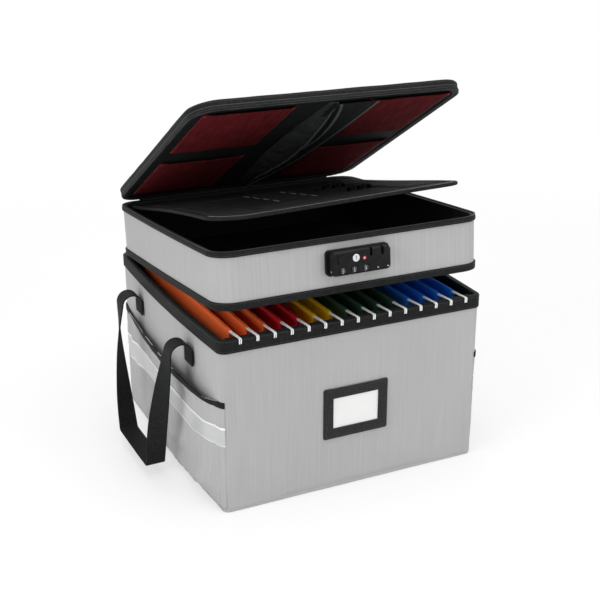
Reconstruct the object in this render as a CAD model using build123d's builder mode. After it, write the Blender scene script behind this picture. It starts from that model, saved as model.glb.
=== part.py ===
from build123d import *
import os
from math import cos, radians, sin

# Portable file box: a fabric covered file box with hanging rails, a hinged upper tray
# with a combination lock, and a padded lid with pockets over a folding organizer.
# Millimetres.  X right, Y to the back, Z up, origin at the centre of the base.

# --- box ---------------------------------------------------------------
box_w = 398.0            # outside width over the fabric
box_d = 404.0            # outside depth over the fabric
box_h = 254.0            # height to the top of the rim band
box_corner_r = 10.0      # vertical corners of the box
wall_t = 4.0             # board between two layers of fabric
floor_t = 4.0            # bottom panel
lining_t = 0.8           # inner lining cloth
board_t = 3.0            # loose board that stiffens the bottom
board_gap = 1.0          # slack round the loose board

# --- rim band, rails and folders -------------------------------------------
band_h = 20.0            # webbing band bound over the top edge
band_t = 2.0
band_inner_h = 10.0
band_inner_t = 1.2
rail_t = 1.6             # extruded J shaped hanging rail
rail_leg_h = 28.0
rail_channel = 5.0
rail_lip_h = 18.0
rail_drop = 4.0          # top of the rail's leg below the rim
rail_end_gap = 6.0
rivet_r = 4.0
rivet_head = 1.2
rivet_taper = 35.0
rivet_sides = 12
rivet_count = 4
rivet_end = 27.0         # from the end of a rail to its last rivet
folder_margin = 5.0      # free length of rail beside the row of folders
folder_colours = (("orange", 3), ("red", 2), ("yellow", 2), ("green", 4), ("blue", 4))
folder_h = 238.0
folder_card = 0.5
folder_split = 3.6       # each of a folder's two rods lies this far from its middle
folder_end_gap = 1.8     # from the end of the card to the rail's lip
folder_cut = 13.0        # the card's top corners are cut away, which bares the rods' ends
rod_t = 1.2
rod_h = 9.0
rod_hook = 3.5           # depth of rod left above the notch
rod_notch_gap = 0.5
rod_tip = 2.1
rod_tip_h = 8.5
sleeve_gap = 0.2

# --- side pockets ------------------------------------------------------------
pocket_mouth_drop = 83.0 # mouth of the pocket below the rim
pocket_bulge = 13.0
pocket_foot_z = 6.0
pocket_foot_bulge = 3.0
pocket_knee_z = 62.0
pocket_end_gap = 10.5
pocket_slope = 16.0
pocket_r = 12.0
pocket_t = 1.6
binding_h = 8.0
binding_t = 1.0
strip_h = 28.0
strip_z = 114.0
strip_t = 0.5

# --- label holder ------------------------------------------------------------
label_w = 100.0
label_h = 76.0
label_z = 116.0
label_t = 2.4
label_edge = 0.7
label_r = 3.0
window_w = 70.0
window_h = 45.0
card_w = 75.0
card_h = 50.0
card_t = 0.5
card_gap = 0.3

# --- carrying handles ----------------------------------------------------------
web_w = 28.0             # webbing
web_t = 2.0
anchor_y = 105.0         # middle of each end of a handle, from the middle of the side
anchor_drop = 48.5       # middle of the fold above each anchor, below the rim
anchor_h = 21.0
arch_r = 16.0            # outside radius of the fold above each anchor
arch_gap = 0.4
grip_y = 64.0            # outer corners of the grip
grip_out = 44.0          # middle of the grip from the side of the box
grip_z = 20.0
twist_steps = 6

# --- tray --------------------------------------------------------------------
tray_h = 78.0
tray_corner_r = 28.0
tray_open = 5.2          # degrees that the tray stands open at rest
tray_gap = 0.5
tray_band_h = 10.0
tape_h = 8.0
tape_t = 2.0
hinge_tape_t = 0.8
hinge_tape_h = 17.0
tray_hinge_inset = 13.0
lid_hinge_inset = 6.0

# --- lock ----------------------------------------------------------------------
lock_w = 88.0
lock_h = 32.0
lock_foot_w = 94.0       # flange against the cloth
lock_foot_h = 35.0
lock_foot_t = 5.0
lock_depth = 16.0
lock_drop = 35.0         # middle of the lock below the tray's top edge
lock_corner_r = 6.0
lock_edge = 1.5
dial_r = 4.8
dial_w = 6.8
dial_gap = 0.5
dial_side_gap = 0.35
dial_xs = (-28.5, -11.5, 5.5)
dial_rise = -9.6         # from the lock's middle
dial_proud = 1.1
dial_notches = 10
window_rim = 1.2         # shallow frame round each number wheel
window_depth = 0.7
axle_r = 1.45
axle_gap = 0.05
axle_end_x = 13.5
cylinder_x = -9.0
cylinder_rise = 6.0
cylinder_r = 5.1
cylinder_gap = 0.08
cylinder_proud = 1.2
keyway_w = 1.2
keyway_h = 6.0
keyway_depth = 3.0
button_x = -31.0
button_rise = 5.5
button_w = 9.0
button_h = 10.0
button_gap = 0.3
button_proud = 1.5
button_travel = 1.2
bezel_floor = 4.0        # solid web left behind the lock's bores
indicator_x = 4.0
indicator_rise = 4.0
indicator_r = 2.5
indicator_depth = 4.0
socket_xs = (14.0, 31.0)
socket_w = 3.6
socket_h = 10.5
socket_depth = 6.0
plate_w = 84.0
plate_h = 26.0
plate_t = 1.2
plate_rivet_r = 3.0
plate_rivet_x = 36.0
plate_rivet_y = 8.0

# --- zipper sliders ------------------------------------------------------------------
slider_w = 9.0
slider_h = 7.0
slider_d = 4.2
slider_drop = 9.0        # top of the sliders below the tray's top edge
cheek_t = 1.2
cheek_r = 1.8
pin_r = 0.7
pin_out = 1.6            # pin beyond the slider's face
pull_eye_r = 1.5
pull_eye_gap = 0.2
pull_eye_w = 4.0
pull_w = 6.5
pull_l = 23.0
pull_t = 1.4

# --- lid -----------------------------------------------------------------------------
lid_open = 24.8          # degrees between tray and lid at rest
lid_h = 20.0
lid_skirt = 2.6          # the lining lies this far inside the skirt's edge
lid_cover_t = 1.5
lid_band_t = 2.0
lid_pocket_w = 124.0
lid_pocket_l = 154.0
lid_pocket_side = 12.0
lid_pocket_back = 30.0
lid_pocket_front = 22.0
lid_pocket_t = 1.8
pouch_left = -26.0
pouch_right = 17.0
pouch_sag = 10.0
pouch_t = 1.2
pouch_back = 22.0
pouch_front = 9.0
pouch_tip = 0.16         # width and sag at the pouch's ends, as a share of its middle

# --- organizer flap ---------------------------------------------------------------------
flap_open = 7.0          # degrees between tray and organizer at rest
flap_side_gap = 11.0     # from the tray's lining
flap_front_gap = 32.0    # its front edge is this much shorter than the tray
flap_t = 3.0
flap_corner_r = 48.0
flap_hinge_y = 13.0      # hinge line from the tray's outer back face
flap_hinge_drop = 7.0    # below the tray's top edge
flap_edge_t = 0.9
flap_edge_w = 7.0
flap_strip_inset = 2.0
flap_ledge_t = 0.9
flap_ledge_gap = 0.5
slot_w = 62.0
slot_l = 20.0
slot_t = 1.2
slot_x = -22.0
slot_us = (152.0, 188.0, 224.0, 260.0)
loop_xs = (66.0, 82.0, 98.0)
loop_us = (165.0, 245.0)
loop_r = 6.5
loop_sides = 12
loop_w = 16.0
loop_t = 0.9
back_pocket_l = 112.0
back_pocket_u = 84.0
side_pocket_w = 62.0
side_pocket_l = 170.0
side_pocket_gap = 3.0    # from the flap's edge binding
side_pocket_u = 246.0
front_pocket_w = 190.0
front_pocket_l = 64.0
front_pocket_x = -4.0
front_pocket_u = 318.0
flap_pocket_t = 1.4

# --- worked out ---------------------------------------------------------------------------
inner_w = box_w - 2 * wall_t
inner_d = box_d - 2 * wall_t
inner_r = box_corner_r - wall_t
wall_top = box_h - band_t
outer_w = box_w + 2 * band_t
outer_d = box_d + 2 * band_t
tray_inner_w = box_w - 2 * wall_t
tray_inner_d = box_d - 2 * wall_t
tray_inner_r = tray_corner_r - wall_t
folder_count = sum(count for _, count in folder_colours)
side_x = box_w / 2
pocket_mouth_z = box_h - pocket_mouth_drop
pocket_half = box_d / 2 - pocket_end_gap
anchor_top_z = box_h - anchor_drop
grip_x = side_x + grip_out
lock_z = tray_h - lock_drop
dial_z = lock_z + dial_rise
cylinder_z = lock_z + cylinder_rise
button_z = lock_z + button_rise
indicator_z = lock_z + indicator_rise
slider_x = side_x - tray_corner_r
slider_top = tray_h - slider_drop
flap_hinge_z = tray_h - flap_hinge_drop
flap_w = tray_inner_w - 2 * (lining_t + flap_side_gap)
flap_l = box_d - flap_front_gap
side_pocket_x = flap_w / 2 - flap_edge_w - side_pocket_gap - side_pocket_w / 2

hinge_y = outer_d / 2
TRAY = Plane(
    origin=(0, hinge_y, box_h),
    x_dir=(1, 0, 0),
    z_dir=(0, sin(radians(tray_open)), cos(radians(tray_open))),
)
lid_angle = tray_open + lid_open
LID = Plane(
    origin=TRAY.from_local_coords((0, 0, tray_h)),
    x_dir=(1, 0, 0),
    z_dir=(0, sin(radians(lid_angle)), cos(radians(lid_angle))),
)
flap_angle = tray_open + flap_open
FLAP = Plane(
    origin=TRAY.from_local_coords((0, -flap_hinge_y, flap_hinge_z)),
    x_dir=(1, 0, 0),
    z_dir=(0, sin(radians(flap_angle)), cos(radians(flap_angle))),
)
tray_front_y = -(outer_d - band_t)
LOCK = Plane(
    origin=TRAY.from_local_coords((0, tray_front_y, 0)),
    x_dir=(1, 0, 0),
    z_dir=-TRAY.y_dir,
)

pieces = {}


def sector(width, depth, side, reach):
    """Corner points of the mitred strip that holds one side of a rectangular ring."""
    hw, hd = width / 2, depth / 2
    if side in ("front", "back"):
        points = [(-hw, -hd), (hw, -hd), (hw - reach, reach - hd), (reach - hw, reach - hd)]
        turn = 1 if side == "front" else -1
    else:
        points = [(-hw, -hd), (reach - hw, reach - hd), (reach - hw, hd - reach), (-hw, hd)]
        turn = 1 if side == "left" else -1
    return [(turn * x, turn * y) for x, y in points]


def wall_panel(base, shift, width, depth, corner_r, thick, side, low, high):
    """One side of a ring of board, cut at the mitres."""
    reach = corner_r + 2 * thick
    with BuildPart() as panel:
        with BuildSketch(base.offset(low)):
            with Locations((0, shift)):
                RectangleRounded(width, depth, corner_r)
                RectangleRounded(
                    width - 2 * thick, depth - 2 * thick, corner_r - thick, mode=Mode.SUBTRACT
                )
                Polygon(*sector(width, depth, side, reach), align=None, mode=Mode.INTERSECT)
        extrude(amount=high - low)
    return panel


def ring(base, shift, width, depth, corner_r, thick, low, high):
    """A band of even thickness round the outside of a rounded rectangle."""
    with BuildPart() as band:
        with BuildSketch(base.offset(low)):
            with Locations((0, shift)):
                RectangleRounded(width, depth, corner_r)
                RectangleRounded(
                    width - 2 * thick, depth - 2 * thick, corner_r - thick, mode=Mode.SUBTRACT
                )
        extrude(amount=high - low)
    return band


def cup(base, shift, width, depth, corner_r, thick, low, high):
    """An open topped lining."""
    with BuildPart() as lining:
        with BuildSketch(base.offset(low)):
            with Locations((0, shift)):
                RectangleRounded(width, depth, corner_r)
        extrude(amount=high - low)
        with BuildSketch(base.offset(low + thick)):
            with Locations((0, shift)):
                RectangleRounded(width - 2 * thick, depth - 2 * thick, corner_r - thick)
        extrude(amount=high - low - thick, mode=Mode.SUBTRACT)
    return lining


def slab(base, shift, width, depth, corner_r, low, high):
    """A flat rounded board."""
    with BuildPart() as board:
        with BuildSketch(base.offset(low)):
            with Locations((0, shift)):
                RectangleRounded(width, depth, corner_r)
        extrude(amount=high - low)
    return board


def through(sections):
    """A flat faced solid through a row of sections, each a list of four corners."""
    faces = [Face(Wire.make_polygon(sections[0])), Face(Wire.make_polygon(sections[-1]))]
    for near, far in zip(sections, sections[1:]):
        for corner, after in ((0, 1), (1, 2), (3, 2), (0, 3)):
            faces.append(Face(Wire.make_polygon([near[corner], near[after], far[after]])))
            faces.append(Face(Wire.make_polygon([near[corner], far[after], far[corner]])))
    return Solid(Shell(faces))


# --- box shell -------------------------------------------------------------------------------
for side in ("front", "back", "left", "right"):
    pieces[f"box_{side}_panel"] = wall_panel(
        Plane.XY, 0, box_w, box_d, box_corner_r, wall_t, side, 0, wall_top
    )

pieces["box_floor_panel"] = slab(Plane.XY, 0, inner_w, inner_d, inner_r, 0, floor_t)
pieces["box_lining"] = cup(Plane.XY, 0, inner_w, inner_d, inner_r, lining_t, floor_t, wall_top)
board_z = floor_t + lining_t
board_inset = 2 * (lining_t + board_gap)
pieces["base_board"] = slab(
    Plane.XY, 0, inner_w - board_inset, inner_d - board_inset, inner_r, board_z, board_z + board_t
)

with BuildPart() as rim_band:
    with BuildSketch(Plane.XY.offset(box_h - band_h)):
        RectangleRounded(outer_w, outer_d, box_corner_r + band_t)
    extrude(amount=band_h)
    inside = 2 * (lining_t + band_inner_t)
    with BuildSketch(Plane.XY.offset(box_h - band_h)):
        RectangleRounded(inner_w - inside, inner_d - inside, inner_r - lining_t - band_inner_t)
    extrude(amount=band_h, mode=Mode.SUBTRACT)
    with BuildSketch(Plane.XY.offset(box_h - band_h)):
        RectangleRounded(box_w, box_d, box_corner_r)
        RectangleRounded(
            inner_w - 2 * lining_t, inner_d - 2 * lining_t, inner_r - lining_t, mode=Mode.SUBTRACT
        )
    extrude(amount=band_h - band_t, mode=Mode.SUBTRACT)
    with BuildSketch(Plane.XY.offset(box_h - band_h)):
        RectangleRounded(inner_w - 2 * lining_t, inner_d - 2 * lining_t, inner_r - lining_t)
    extrude(amount=band_h - band_inner_h, mode=Mode.SUBTRACT)
pieces["rim_band"] = rim_band

# --- hanging rails ---------------------------------------------------------------------------
rail_face_y = inner_d / 2 - lining_t - band_inner_t
rail_top = box_h - rail_drop
rail_foot = rail_top - rail_leg_h
rail_len = inner_w - 2 * (lining_t + band_inner_t) - 2 * rail_end_gap
lip_in = rail_face_y - 2 * rail_t - rail_channel
lip_out = lip_in + rail_t
web_z = rail_foot + (rail_leg_h - rail_lip_h) * 0.8
lip_top = web_z + rail_lip_h
rivet_z = rail_foot + (web_z - rail_foot) / 2
folder_pitch = (rail_len - folder_margin) / folder_count


with BuildPart() as hanging_rails:
    with BuildSketch(Plane.YZ.offset(-rail_len / 2)):
        for face in (-1, 1):
            Polygon(
                (face * rail_face_y, rail_foot),
                (face * rail_face_y, rail_top),
                (face * (rail_face_y - rail_t), rail_top),
                (face * (rail_face_y - rail_t), web_z + rail_t),
                (face * lip_out, web_z + rail_t),
                (face * lip_out, lip_top),
                (face * lip_in, lip_top),
                (face * lip_in, web_z),
                (face * (rail_face_y - rail_t), web_z),
                (face * (rail_face_y - rail_t), rail_foot),
                align=None,
            )
    extrude(amount=rail_len)
pieces["hanging_rails"] = hanging_rails

with BuildPart() as rail_rivets:
    for face in (-1, 1):
        rivet_face = Plane(
            origin=(0, face * (rail_face_y - rail_t), rivet_z), x_dir=(1, 0, 0), z_dir=(0, -face, 0)
        )
        with BuildSketch(rivet_face):
            with GridLocations((rail_len - 2 * rivet_end) / (rivet_count - 1), 0, rivet_count, 1):
                RegularPolygon(rivet_r, rivet_sides)
        extrude(amount=rivet_head, taper=rivet_taper)
pieces["rail_rivets"] = rail_rivets

# --- hanging folders ------------------------------------------------------------------------
rod_top = lip_top + rod_hook
rod_low = rod_top - rod_h
notch_in = lip_in - rod_notch_gap
notch_out = lip_out + rod_notch_gap
rod_end = notch_out + rod_tip
folder_half = lip_in - folder_end_gap
sleeve_w = rod_t + 2 * (sleeve_gap + folder_card)
sleeve_low = rod_low - sleeve_gap - folder_card
sleeve_top = rod_top + sleeve_gap + folder_card
folder_low = sleeve_top - folder_h


def folder_x(index):
    return (index - (folder_count - 1) / 2) * folder_pitch


with BuildPart() as folder_rods:
    for index in range(folder_count):
        for turn in (-1, 1):
            rod_x = folder_x(index) + turn * folder_split
            with BuildSketch(Plane.YZ.offset(rod_x - rod_t / 2)):
                with BuildLine():
                    Polyline(
                        (-rod_end, rod_top),
                        (rod_end, rod_top),
                        (rod_end, rod_top - rod_tip_h),
                        (notch_out, rod_top - rod_tip_h),
                        (notch_out, lip_top),
                        (notch_in, lip_top),
                        (notch_in, rod_low),
                        (-notch_in, rod_low),
                        (-notch_in, lip_top),
                        (-notch_out, lip_top),
                        (-notch_out, rod_top - rod_tip_h),
                        (-rod_end, rod_top - rod_tip_h),
                        close=True,
                    )
                make_face()
            extrude(amount=rod_t)
pieces["folder_rods"] = folder_rods


def folder_set(first, count):
    """A run of hanging folders, each a folded card with a sleeve for either rod."""
    ends = [
        (folder_half - folder_cut, sleeve_top + sleeve_gap),
        (folder_half + sleeve_gap, sleeve_top + sleeve_gap),
        (folder_half + sleeve_gap, sleeve_low - folder_cut),
        (folder_half - folder_cut, sleeve_low),
    ]
    with BuildPart() as folders:
        for index in range(first, first + count):
            with BuildSketch(Plane.XZ.offset(-folder_half)):
                for turn in (-1, 1):
                    sleeve_x = folder_x(index) + turn * folder_split
                    with Locations((sleeve_x, (sleeve_low + sleeve_top) / 2)):
                        Rectangle(sleeve_w, sleeve_top - sleeve_low)
                        Rectangle(
                            sleeve_w - 2 * folder_card,
                            sleeve_top - sleeve_low - 2 * folder_card,
                            mode=Mode.SUBTRACT,
                        )
                    with Locations((sleeve_x, folder_low)):
                        Rectangle(
                            folder_card, sleeve_low - folder_low, align=(Align.CENTER, Align.MIN)
                        )
                with Locations((folder_x(index), folder_low)):
                    Rectangle(
                        2 * folder_split + folder_card, folder_card, align=(Align.CENTER, Align.MIN)
                    )
            extrude(amount=2 * folder_half)
        with BuildSketch(Plane.YZ.offset(folder_x(first) - folder_pitch / 2)):
            Polygon(*ends, align=None)
            Polygon(*[(-y, z) for y, z in ends], align=None)
        extrude(amount=count * folder_pitch, mode=Mode.SUBTRACT)
    return folders


first_folder = 0
for colour, count in folder_colours:
    pieces[f"folders_{colour}"] = folder_set(first_folder, count)
    first_folder += count

# --- side pockets --------------------------------------------------------------------------------

def pocket_plan(bulge, inset):
    """Plan of a side pocket against the left wall, drawn inset from its outer face."""
    half = pocket_half - inset
    out = bulge - inset
    knee = half - pocket_slope * bulge / pocket_bulge
    return [(-side_x, -half), (-side_x - out, -knee), (-side_x - out, knee), (-side_x, half)]


def pocket_wrap(low, high, thick):
    """A thin wrap on the outside of the pocket's straight upper part."""
    with BuildPart() as wrap:
        with BuildSketch(Plane.XY.offset(low)):
            Polygon(*pocket_plan(pocket_bulge, -thick), align=None)
            Polygon(*pocket_plan(pocket_bulge, 0), align=None, mode=Mode.SUBTRACT)
        extrude(amount=high - low)
    return wrap


with BuildPart() as left_pocket:
    with BuildSketch(Plane.XY.offset(pocket_foot_z)):
        Polygon(*pocket_plan(pocket_foot_bulge, 0), align=None)
    with BuildSketch(Plane.XY.offset(pocket_knee_z)):
        Polygon(*pocket_plan(pocket_bulge, 0), align=None)
    loft(ruled=True)
    with BuildSketch(Plane.XY.offset(pocket_knee_z)):
        Polygon(*pocket_plan(pocket_bulge, 0), align=None)
    extrude(amount=pocket_mouth_z - pocket_knee_z)
    with BuildSketch(Plane.XY.offset(pocket_foot_z + pocket_t)):
        Polygon(*pocket_plan(pocket_foot_bulge, pocket_t), align=None)
    with BuildSketch(Plane.XY.offset(pocket_knee_z)):
        Polygon(*pocket_plan(pocket_bulge, pocket_t), align=None)
    loft(ruled=True, mode=Mode.SUBTRACT)
    with BuildSketch(Plane.XY.offset(pocket_knee_z)):
        Polygon(*pocket_plan(pocket_bulge, pocket_t), align=None)
    extrude(amount=pocket_mouth_z - pocket_knee_z, mode=Mode.SUBTRACT)
pieces["left_side_pocket"] = left_pocket

with BuildPart() as right_pocket:
    mirror(left_pocket.part, about=Plane.YZ)
pieces["right_side_pocket"] = right_pocket

with BuildPart() as pocket_bindings:
    left_binding = pocket_wrap(pocket_mouth_z - binding_h, pocket_mouth_z, binding_t)
    add(left_binding.part)
    mirror(left_binding.part, about=Plane.YZ)
pieces["pocket_bindings"] = pocket_bindings

with BuildPart() as reflective_strips:
    left_strip = pocket_wrap(strip_z - strip_h / 2, strip_z + strip_h / 2, strip_t)
    add(left_strip.part)
    mirror(left_strip.part, about=Plane.YZ)
pieces["reflective_strips"] = reflective_strips

# --- label holder and card -----------------------------------------------------------------------
LABEL = Plane(origin=(0, -box_d / 2, label_z), x_dir=(1, 0, 0), z_dir=(0, -1, 0))
recess_t = card_t + 2 * card_gap
card_low = -card_h / 2 - card_gap

with BuildPart() as label_holder:
    with BuildSketch(LABEL):
        RectangleRounded(label_w, label_h, label_r)
        Rectangle(window_w, window_h, mode=Mode.SUBTRACT)
    extrude(amount=label_t)
    chamfer(label_holder.faces().sort_by(Axis.Y)[0].edges(), label_edge)
    with BuildSketch(LABEL):
        with Locations((0, card_low)):
            Rectangle(
                card_w + 2 * card_gap, label_h / 2 - card_low, align=(Align.CENTER, Align.MIN)
            )
    extrude(amount=recess_t, mode=Mode.SUBTRACT)
pieces["label_holder"] = label_holder

with BuildPart() as label_card:
    with BuildSketch(LABEL.offset(card_gap)):
        Rectangle(card_w, card_h)
    extrude(amount=card_t)
pieces["label_card"] = label_card

# --- carrying handles -----------------------------------------------------------------------------
arch_x = -side_x - web_t - arch_gap - arch_r
arch_mid = arch_r - web_t / 2
leg_top = Vector(arch_x - arch_mid, -anchor_y, anchor_top_z)
leg_foot = Vector(-grip_x, -grip_y + web_t / 2, grip_z)


def leg_section(share):
    """Corners of a handle's leg: the webbing turns a quarter turn on its way down."""
    turn = radians(90 * share)
    plane = Plane(
        origin=leg_top + (leg_foot - leg_top) * share,
        x_dir=(-sin(turn), cos(turn), 0),
        z_dir=(0, 0, -1),
    )
    half_w, half_t = web_w / 2, web_t / 2
    corners = ((-half_w, -half_t), (half_w, -half_t), (half_w, half_t), (-half_w, half_t))
    return [plane.from_local_coords((x, y, 0)) for x, y in corners]


with BuildPart() as left_handle:
    with BuildSketch(Plane.XZ.offset(anchor_y - web_w / 2)):
        with Locations((arch_x, anchor_top_z)):
            Circle(arch_r)
            Circle(arch_r - web_t, mode=Mode.SUBTRACT)
            Rectangle(2 * arch_r, arch_r, align=(Align.CENTER, Align.MAX), mode=Mode.SUBTRACT)
    extrude(amount=web_w)
    add(through([leg_section(step / twist_steps) for step in range(twist_steps + 1)]))
    with BuildSketch(Plane.XY.offset(grip_z - web_t)):
        with Locations((-grip_x, -grip_y)):
            Rectangle(web_w, grip_y, align=(Align.CENTER, Align.MIN))
    extrude(amount=web_t)
    mirror(about=Plane.XZ)
pieces["left_handle"] = left_handle

with BuildPart() as right_handle:
    mirror(left_handle.part, about=Plane.YZ)
pieces["right_handle"] = right_handle

with BuildPart() as handle_anchors:
    for face in (-1, 1):
        for end in (-1, 1):
            with Locations((face * (side_x + web_t / 2), end * anchor_y, anchor_top_z + web_t)):
                Box(web_t, web_w, anchor_h, align=(Align.CENTER, Align.CENTER, Align.MAX))
pieces["handle_anchors"] = handle_anchors

# --- tray ---------------------------------------------------------------------------------------
tray_shift = -outer_d / 2
tray_top = tray_h
for side in ("front", "back", "left", "right"):
    pieces[f"tray_{side}_wall"] = wall_panel(
        TRAY, tray_shift, box_w, box_d, tray_corner_r, wall_t, side, tray_gap, tray_top
    )
tray_floor_top = tray_gap + floor_t
pieces["tray_floor_panel"] = slab(
    TRAY, tray_shift, tray_inner_w, tray_inner_d, tray_inner_r, tray_gap, tray_floor_top
)
pieces["tray_lining"] = cup(
    TRAY, tray_shift, tray_inner_w, tray_inner_d, tray_inner_r, lining_t, tray_floor_top, tray_top
)
pieces["tray_bottom_band"] = ring(
    TRAY,
    tray_shift,
    outer_w,
    outer_d,
    tray_corner_r + band_t,
    band_t,
    tray_gap,
    tray_gap + tray_band_h,
)
pieces["tray_zipper_tape"] = ring(
    TRAY, tray_shift, outer_w, outer_d, tray_corner_r + tape_t, tape_t, tray_top - tape_h, tray_top
)

with BuildPart() as tray_hinge_tape:
    with Locations((0, hinge_y, box_h - tray_gap)):
        Box(
            box_w - 2 * tray_hinge_inset,
            hinge_tape_t,
            hinge_tape_h,
            align=(Align.CENTER, Align.MIN, Align.MAX),
        )
pieces["tray_hinge_tape"] = tray_hinge_tape

with BuildPart() as lid_hinge_tape:
    with BuildSketch(TRAY.offset(tray_top - tray_gap)):
        Rectangle(slider_x * 2 - 2 * lid_hinge_inset, hinge_tape_t, align=(Align.CENTER, Align.MIN))
    extrude(amount=-(tape_h - 2 * tray_gap))
pieces["lid_hinge_tape"] = lid_hinge_tape

# --- lock ------------------------------------------------------------------------------------------
lock_low = lock_z - lock_h / 2
dial_depth = lock_depth + dial_proud - dial_r
DIAL = Plane(
    origin=LOCK.from_local_coords((0, dial_z, dial_depth)), x_dir=LOCK.y_dir, z_dir=(1, 0, 0)
)


def dial_bore(x):
    """Plane across the dials' axle at one place along it."""
    return DIAL.offset(x)


with BuildPart() as lock_housing:
    with BuildSketch(LOCK):
        with Locations((0, lock_z)):
            RectangleRounded(lock_w, lock_h, lock_corner_r)
    extrude(amount=lock_depth)
    face_edges = lock_housing.faces().sort_by(Axis(LOCK.origin, LOCK.z_dir))[-1].edges()
    chamfer(face_edges, lock_edge)
    with BuildSketch(LOCK):
        with Locations((0, lock_z)):
            RectangleRounded(lock_foot_w, lock_foot_h, lock_corner_r)
    extrude(amount=lock_foot_t)
    for x in dial_xs:
        with BuildSketch(LOCK.offset(lock_depth - window_depth)):
            with Locations((x, dial_z)):
                Rectangle(dial_w + 2 * window_rim, 2 * dial_r)
        extrude(amount=window_depth, mode=Mode.SUBTRACT)
    for x in dial_xs:
        with BuildSketch(dial_bore(x - dial_w / 2 - dial_side_gap)):
            Circle(dial_r + dial_gap)
        extrude(amount=dial_w + 2 * dial_side_gap, mode=Mode.SUBTRACT)
    with BuildSketch(dial_bore(-lock_w / 2)):
        Circle(axle_r + axle_gap)
    extrude(amount=lock_w / 2 + axle_end_x, mode=Mode.SUBTRACT)
    with BuildSketch(LOCK.offset(bezel_floor)):
        with Locations((cylinder_x, cylinder_z)):
            Circle(cylinder_r + cylinder_gap)
        with Locations((button_x, button_z)):
            Rectangle(button_w + 2 * button_gap, button_h + 2 * button_gap)
    extrude(amount=lock_depth, mode=Mode.SUBTRACT)
    with BuildSketch(LOCK.offset(lock_depth - indicator_depth)):
        with Locations((indicator_x, indicator_z)):
            Circle(indicator_r)
    extrude(amount=indicator_depth, mode=Mode.SUBTRACT)
    with BuildSketch(LOCK.offset(lock_depth - socket_depth)):
        for x in socket_xs:
            with Locations((x, lock_low + lock_h)):
                Rectangle(socket_w, 2 * socket_h)
    extrude(amount=socket_depth, mode=Mode.SUBTRACT)
pieces["lock_housing"] = lock_housing

with BuildPart() as dial_axle:
    with BuildSketch(dial_bore(-lock_w / 2 + axle_gap)):
        Circle(axle_r)
    extrude(amount=lock_w / 2 + axle_end_x - 2 * axle_gap)
pieces["dial_axle"] = dial_axle


def number_dial(x):
    """A number wheel with a notch between each pair of figures."""
    with BuildPart() as dial:
        with BuildSketch(dial_bore(x - dial_w / 2)):
            Circle(dial_r)
            Circle(axle_r + axle_gap, mode=Mode.SUBTRACT)
            with PolarLocations(dial_r, dial_notches, start_angle=180 / dial_notches):
                RegularPolygon(0.7, 4, mode=Mode.SUBTRACT)
        extrude(amount=dial_w)
    return dial


for name, x in zip(("left", "middle", "right"), dial_xs):
    pieces[f"number_dial_{name}"] = number_dial(x)

with BuildPart() as key_cylinder:
    with BuildSketch(LOCK.offset(bezel_floor + cylinder_gap)):
        with Locations((cylinder_x, cylinder_z)):
            Circle(cylinder_r)
    extrude(amount=lock_depth + cylinder_proud - bezel_floor - cylinder_gap)
    with BuildSketch(LOCK.offset(lock_depth + cylinder_proud - keyway_depth)):
        with Locations((cylinder_x, cylinder_z)):
            Rectangle(keyway_w, keyway_h)
    extrude(amount=keyway_depth, mode=Mode.SUBTRACT)
pieces["key_cylinder"] = key_cylinder

with BuildPart() as release_button:
    with BuildSketch(LOCK.offset(bezel_floor + button_gap + button_travel)):
        with Locations((button_x, button_z)):
            Rectangle(button_w, button_h)
    extrude(amount=lock_depth + button_proud - bezel_floor - button_gap - button_travel)
    fillet(release_button.faces().sort_by(Axis(LOCK.origin, LOCK.z_dir))[-1].edges(), 0.8)
pieces["release_button"] = release_button

with BuildPart() as lock_indicator:
    with BuildSketch(LOCK.offset(lock_depth - indicator_depth)):
        with Locations((indicator_x, indicator_z)):
            Circle(indicator_r)
    extrude(amount=indicator_depth + axle_gap)
pieces["lock_indicator"] = lock_indicator

plate_face = -(wall_t + lining_t)
with BuildPart() as lock_backplate:
    with BuildSketch(LOCK.offset(plate_face - plate_t)):
        with Locations((0, lock_z)):
            RectangleRounded(plate_w, plate_h, lock_corner_r)
    extrude(amount=plate_t)
pieces["lock_backplate"] = lock_backplate

with BuildPart() as lock_rivets:
    plate_back = LOCK.offset(plate_face - plate_t)
    with BuildSketch(Plane(plate_back.origin, x_dir=LOCK.x_dir, z_dir=-LOCK.z_dir)):
        with Locations((0, -lock_z)):
            with GridLocations(2 * plate_rivet_x, 2 * plate_rivet_y, 2, 2):
                RegularPolygon(plate_rivet_r, rivet_sides)
    extrude(amount=rivet_head, taper=rivet_taper)
pieces["lock_rivets"] = lock_rivets

# --- zipper sliders and pulls --------------------------------------------------------------------------
slider_y = -band_t
pin_y = slider_y + slider_d + pin_out
pin_z = slider_top - slider_h / 2
cheek_mid = pull_eye_w / 2 + pull_eye_gap + cheek_t / 2
pin_len = 2 * (cheek_mid + cheek_t / 2)


def across(x):
    """Plane across the tray's width at one place along it: x to the back, y up."""
    return Plane(origin=TRAY.from_local_coords((x, 0, 0)), x_dir=TRAY.y_dir, z_dir=(1, 0, 0))


with BuildPart() as zipper_sliders:
    for face in (-1, 1):
        with BuildSketch(across(face * slider_x - slider_w / 2)):
            with Locations((slider_y, slider_top - slider_h)):
                Rectangle(slider_d, slider_h, align=(Align.MIN, Align.MIN))
        extrude(amount=slider_w)
        for end in (-1, 1):
            with BuildSketch(across(face * slider_x + end * cheek_mid - cheek_t / 2)):
                with Locations((pin_y, pin_z)):
                    Circle(cheek_r)
                    Rectangle(pin_y - slider_y, 2 * cheek_r, align=(Align.MAX, Align.CENTER))
            extrude(amount=cheek_t)
        with BuildSketch(across(face * slider_x - pin_len / 2)):
            with Locations((pin_y, pin_z)):
                Circle(pin_r)
        extrude(amount=pin_len)
pieces["zipper_sliders"] = zipper_sliders

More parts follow.
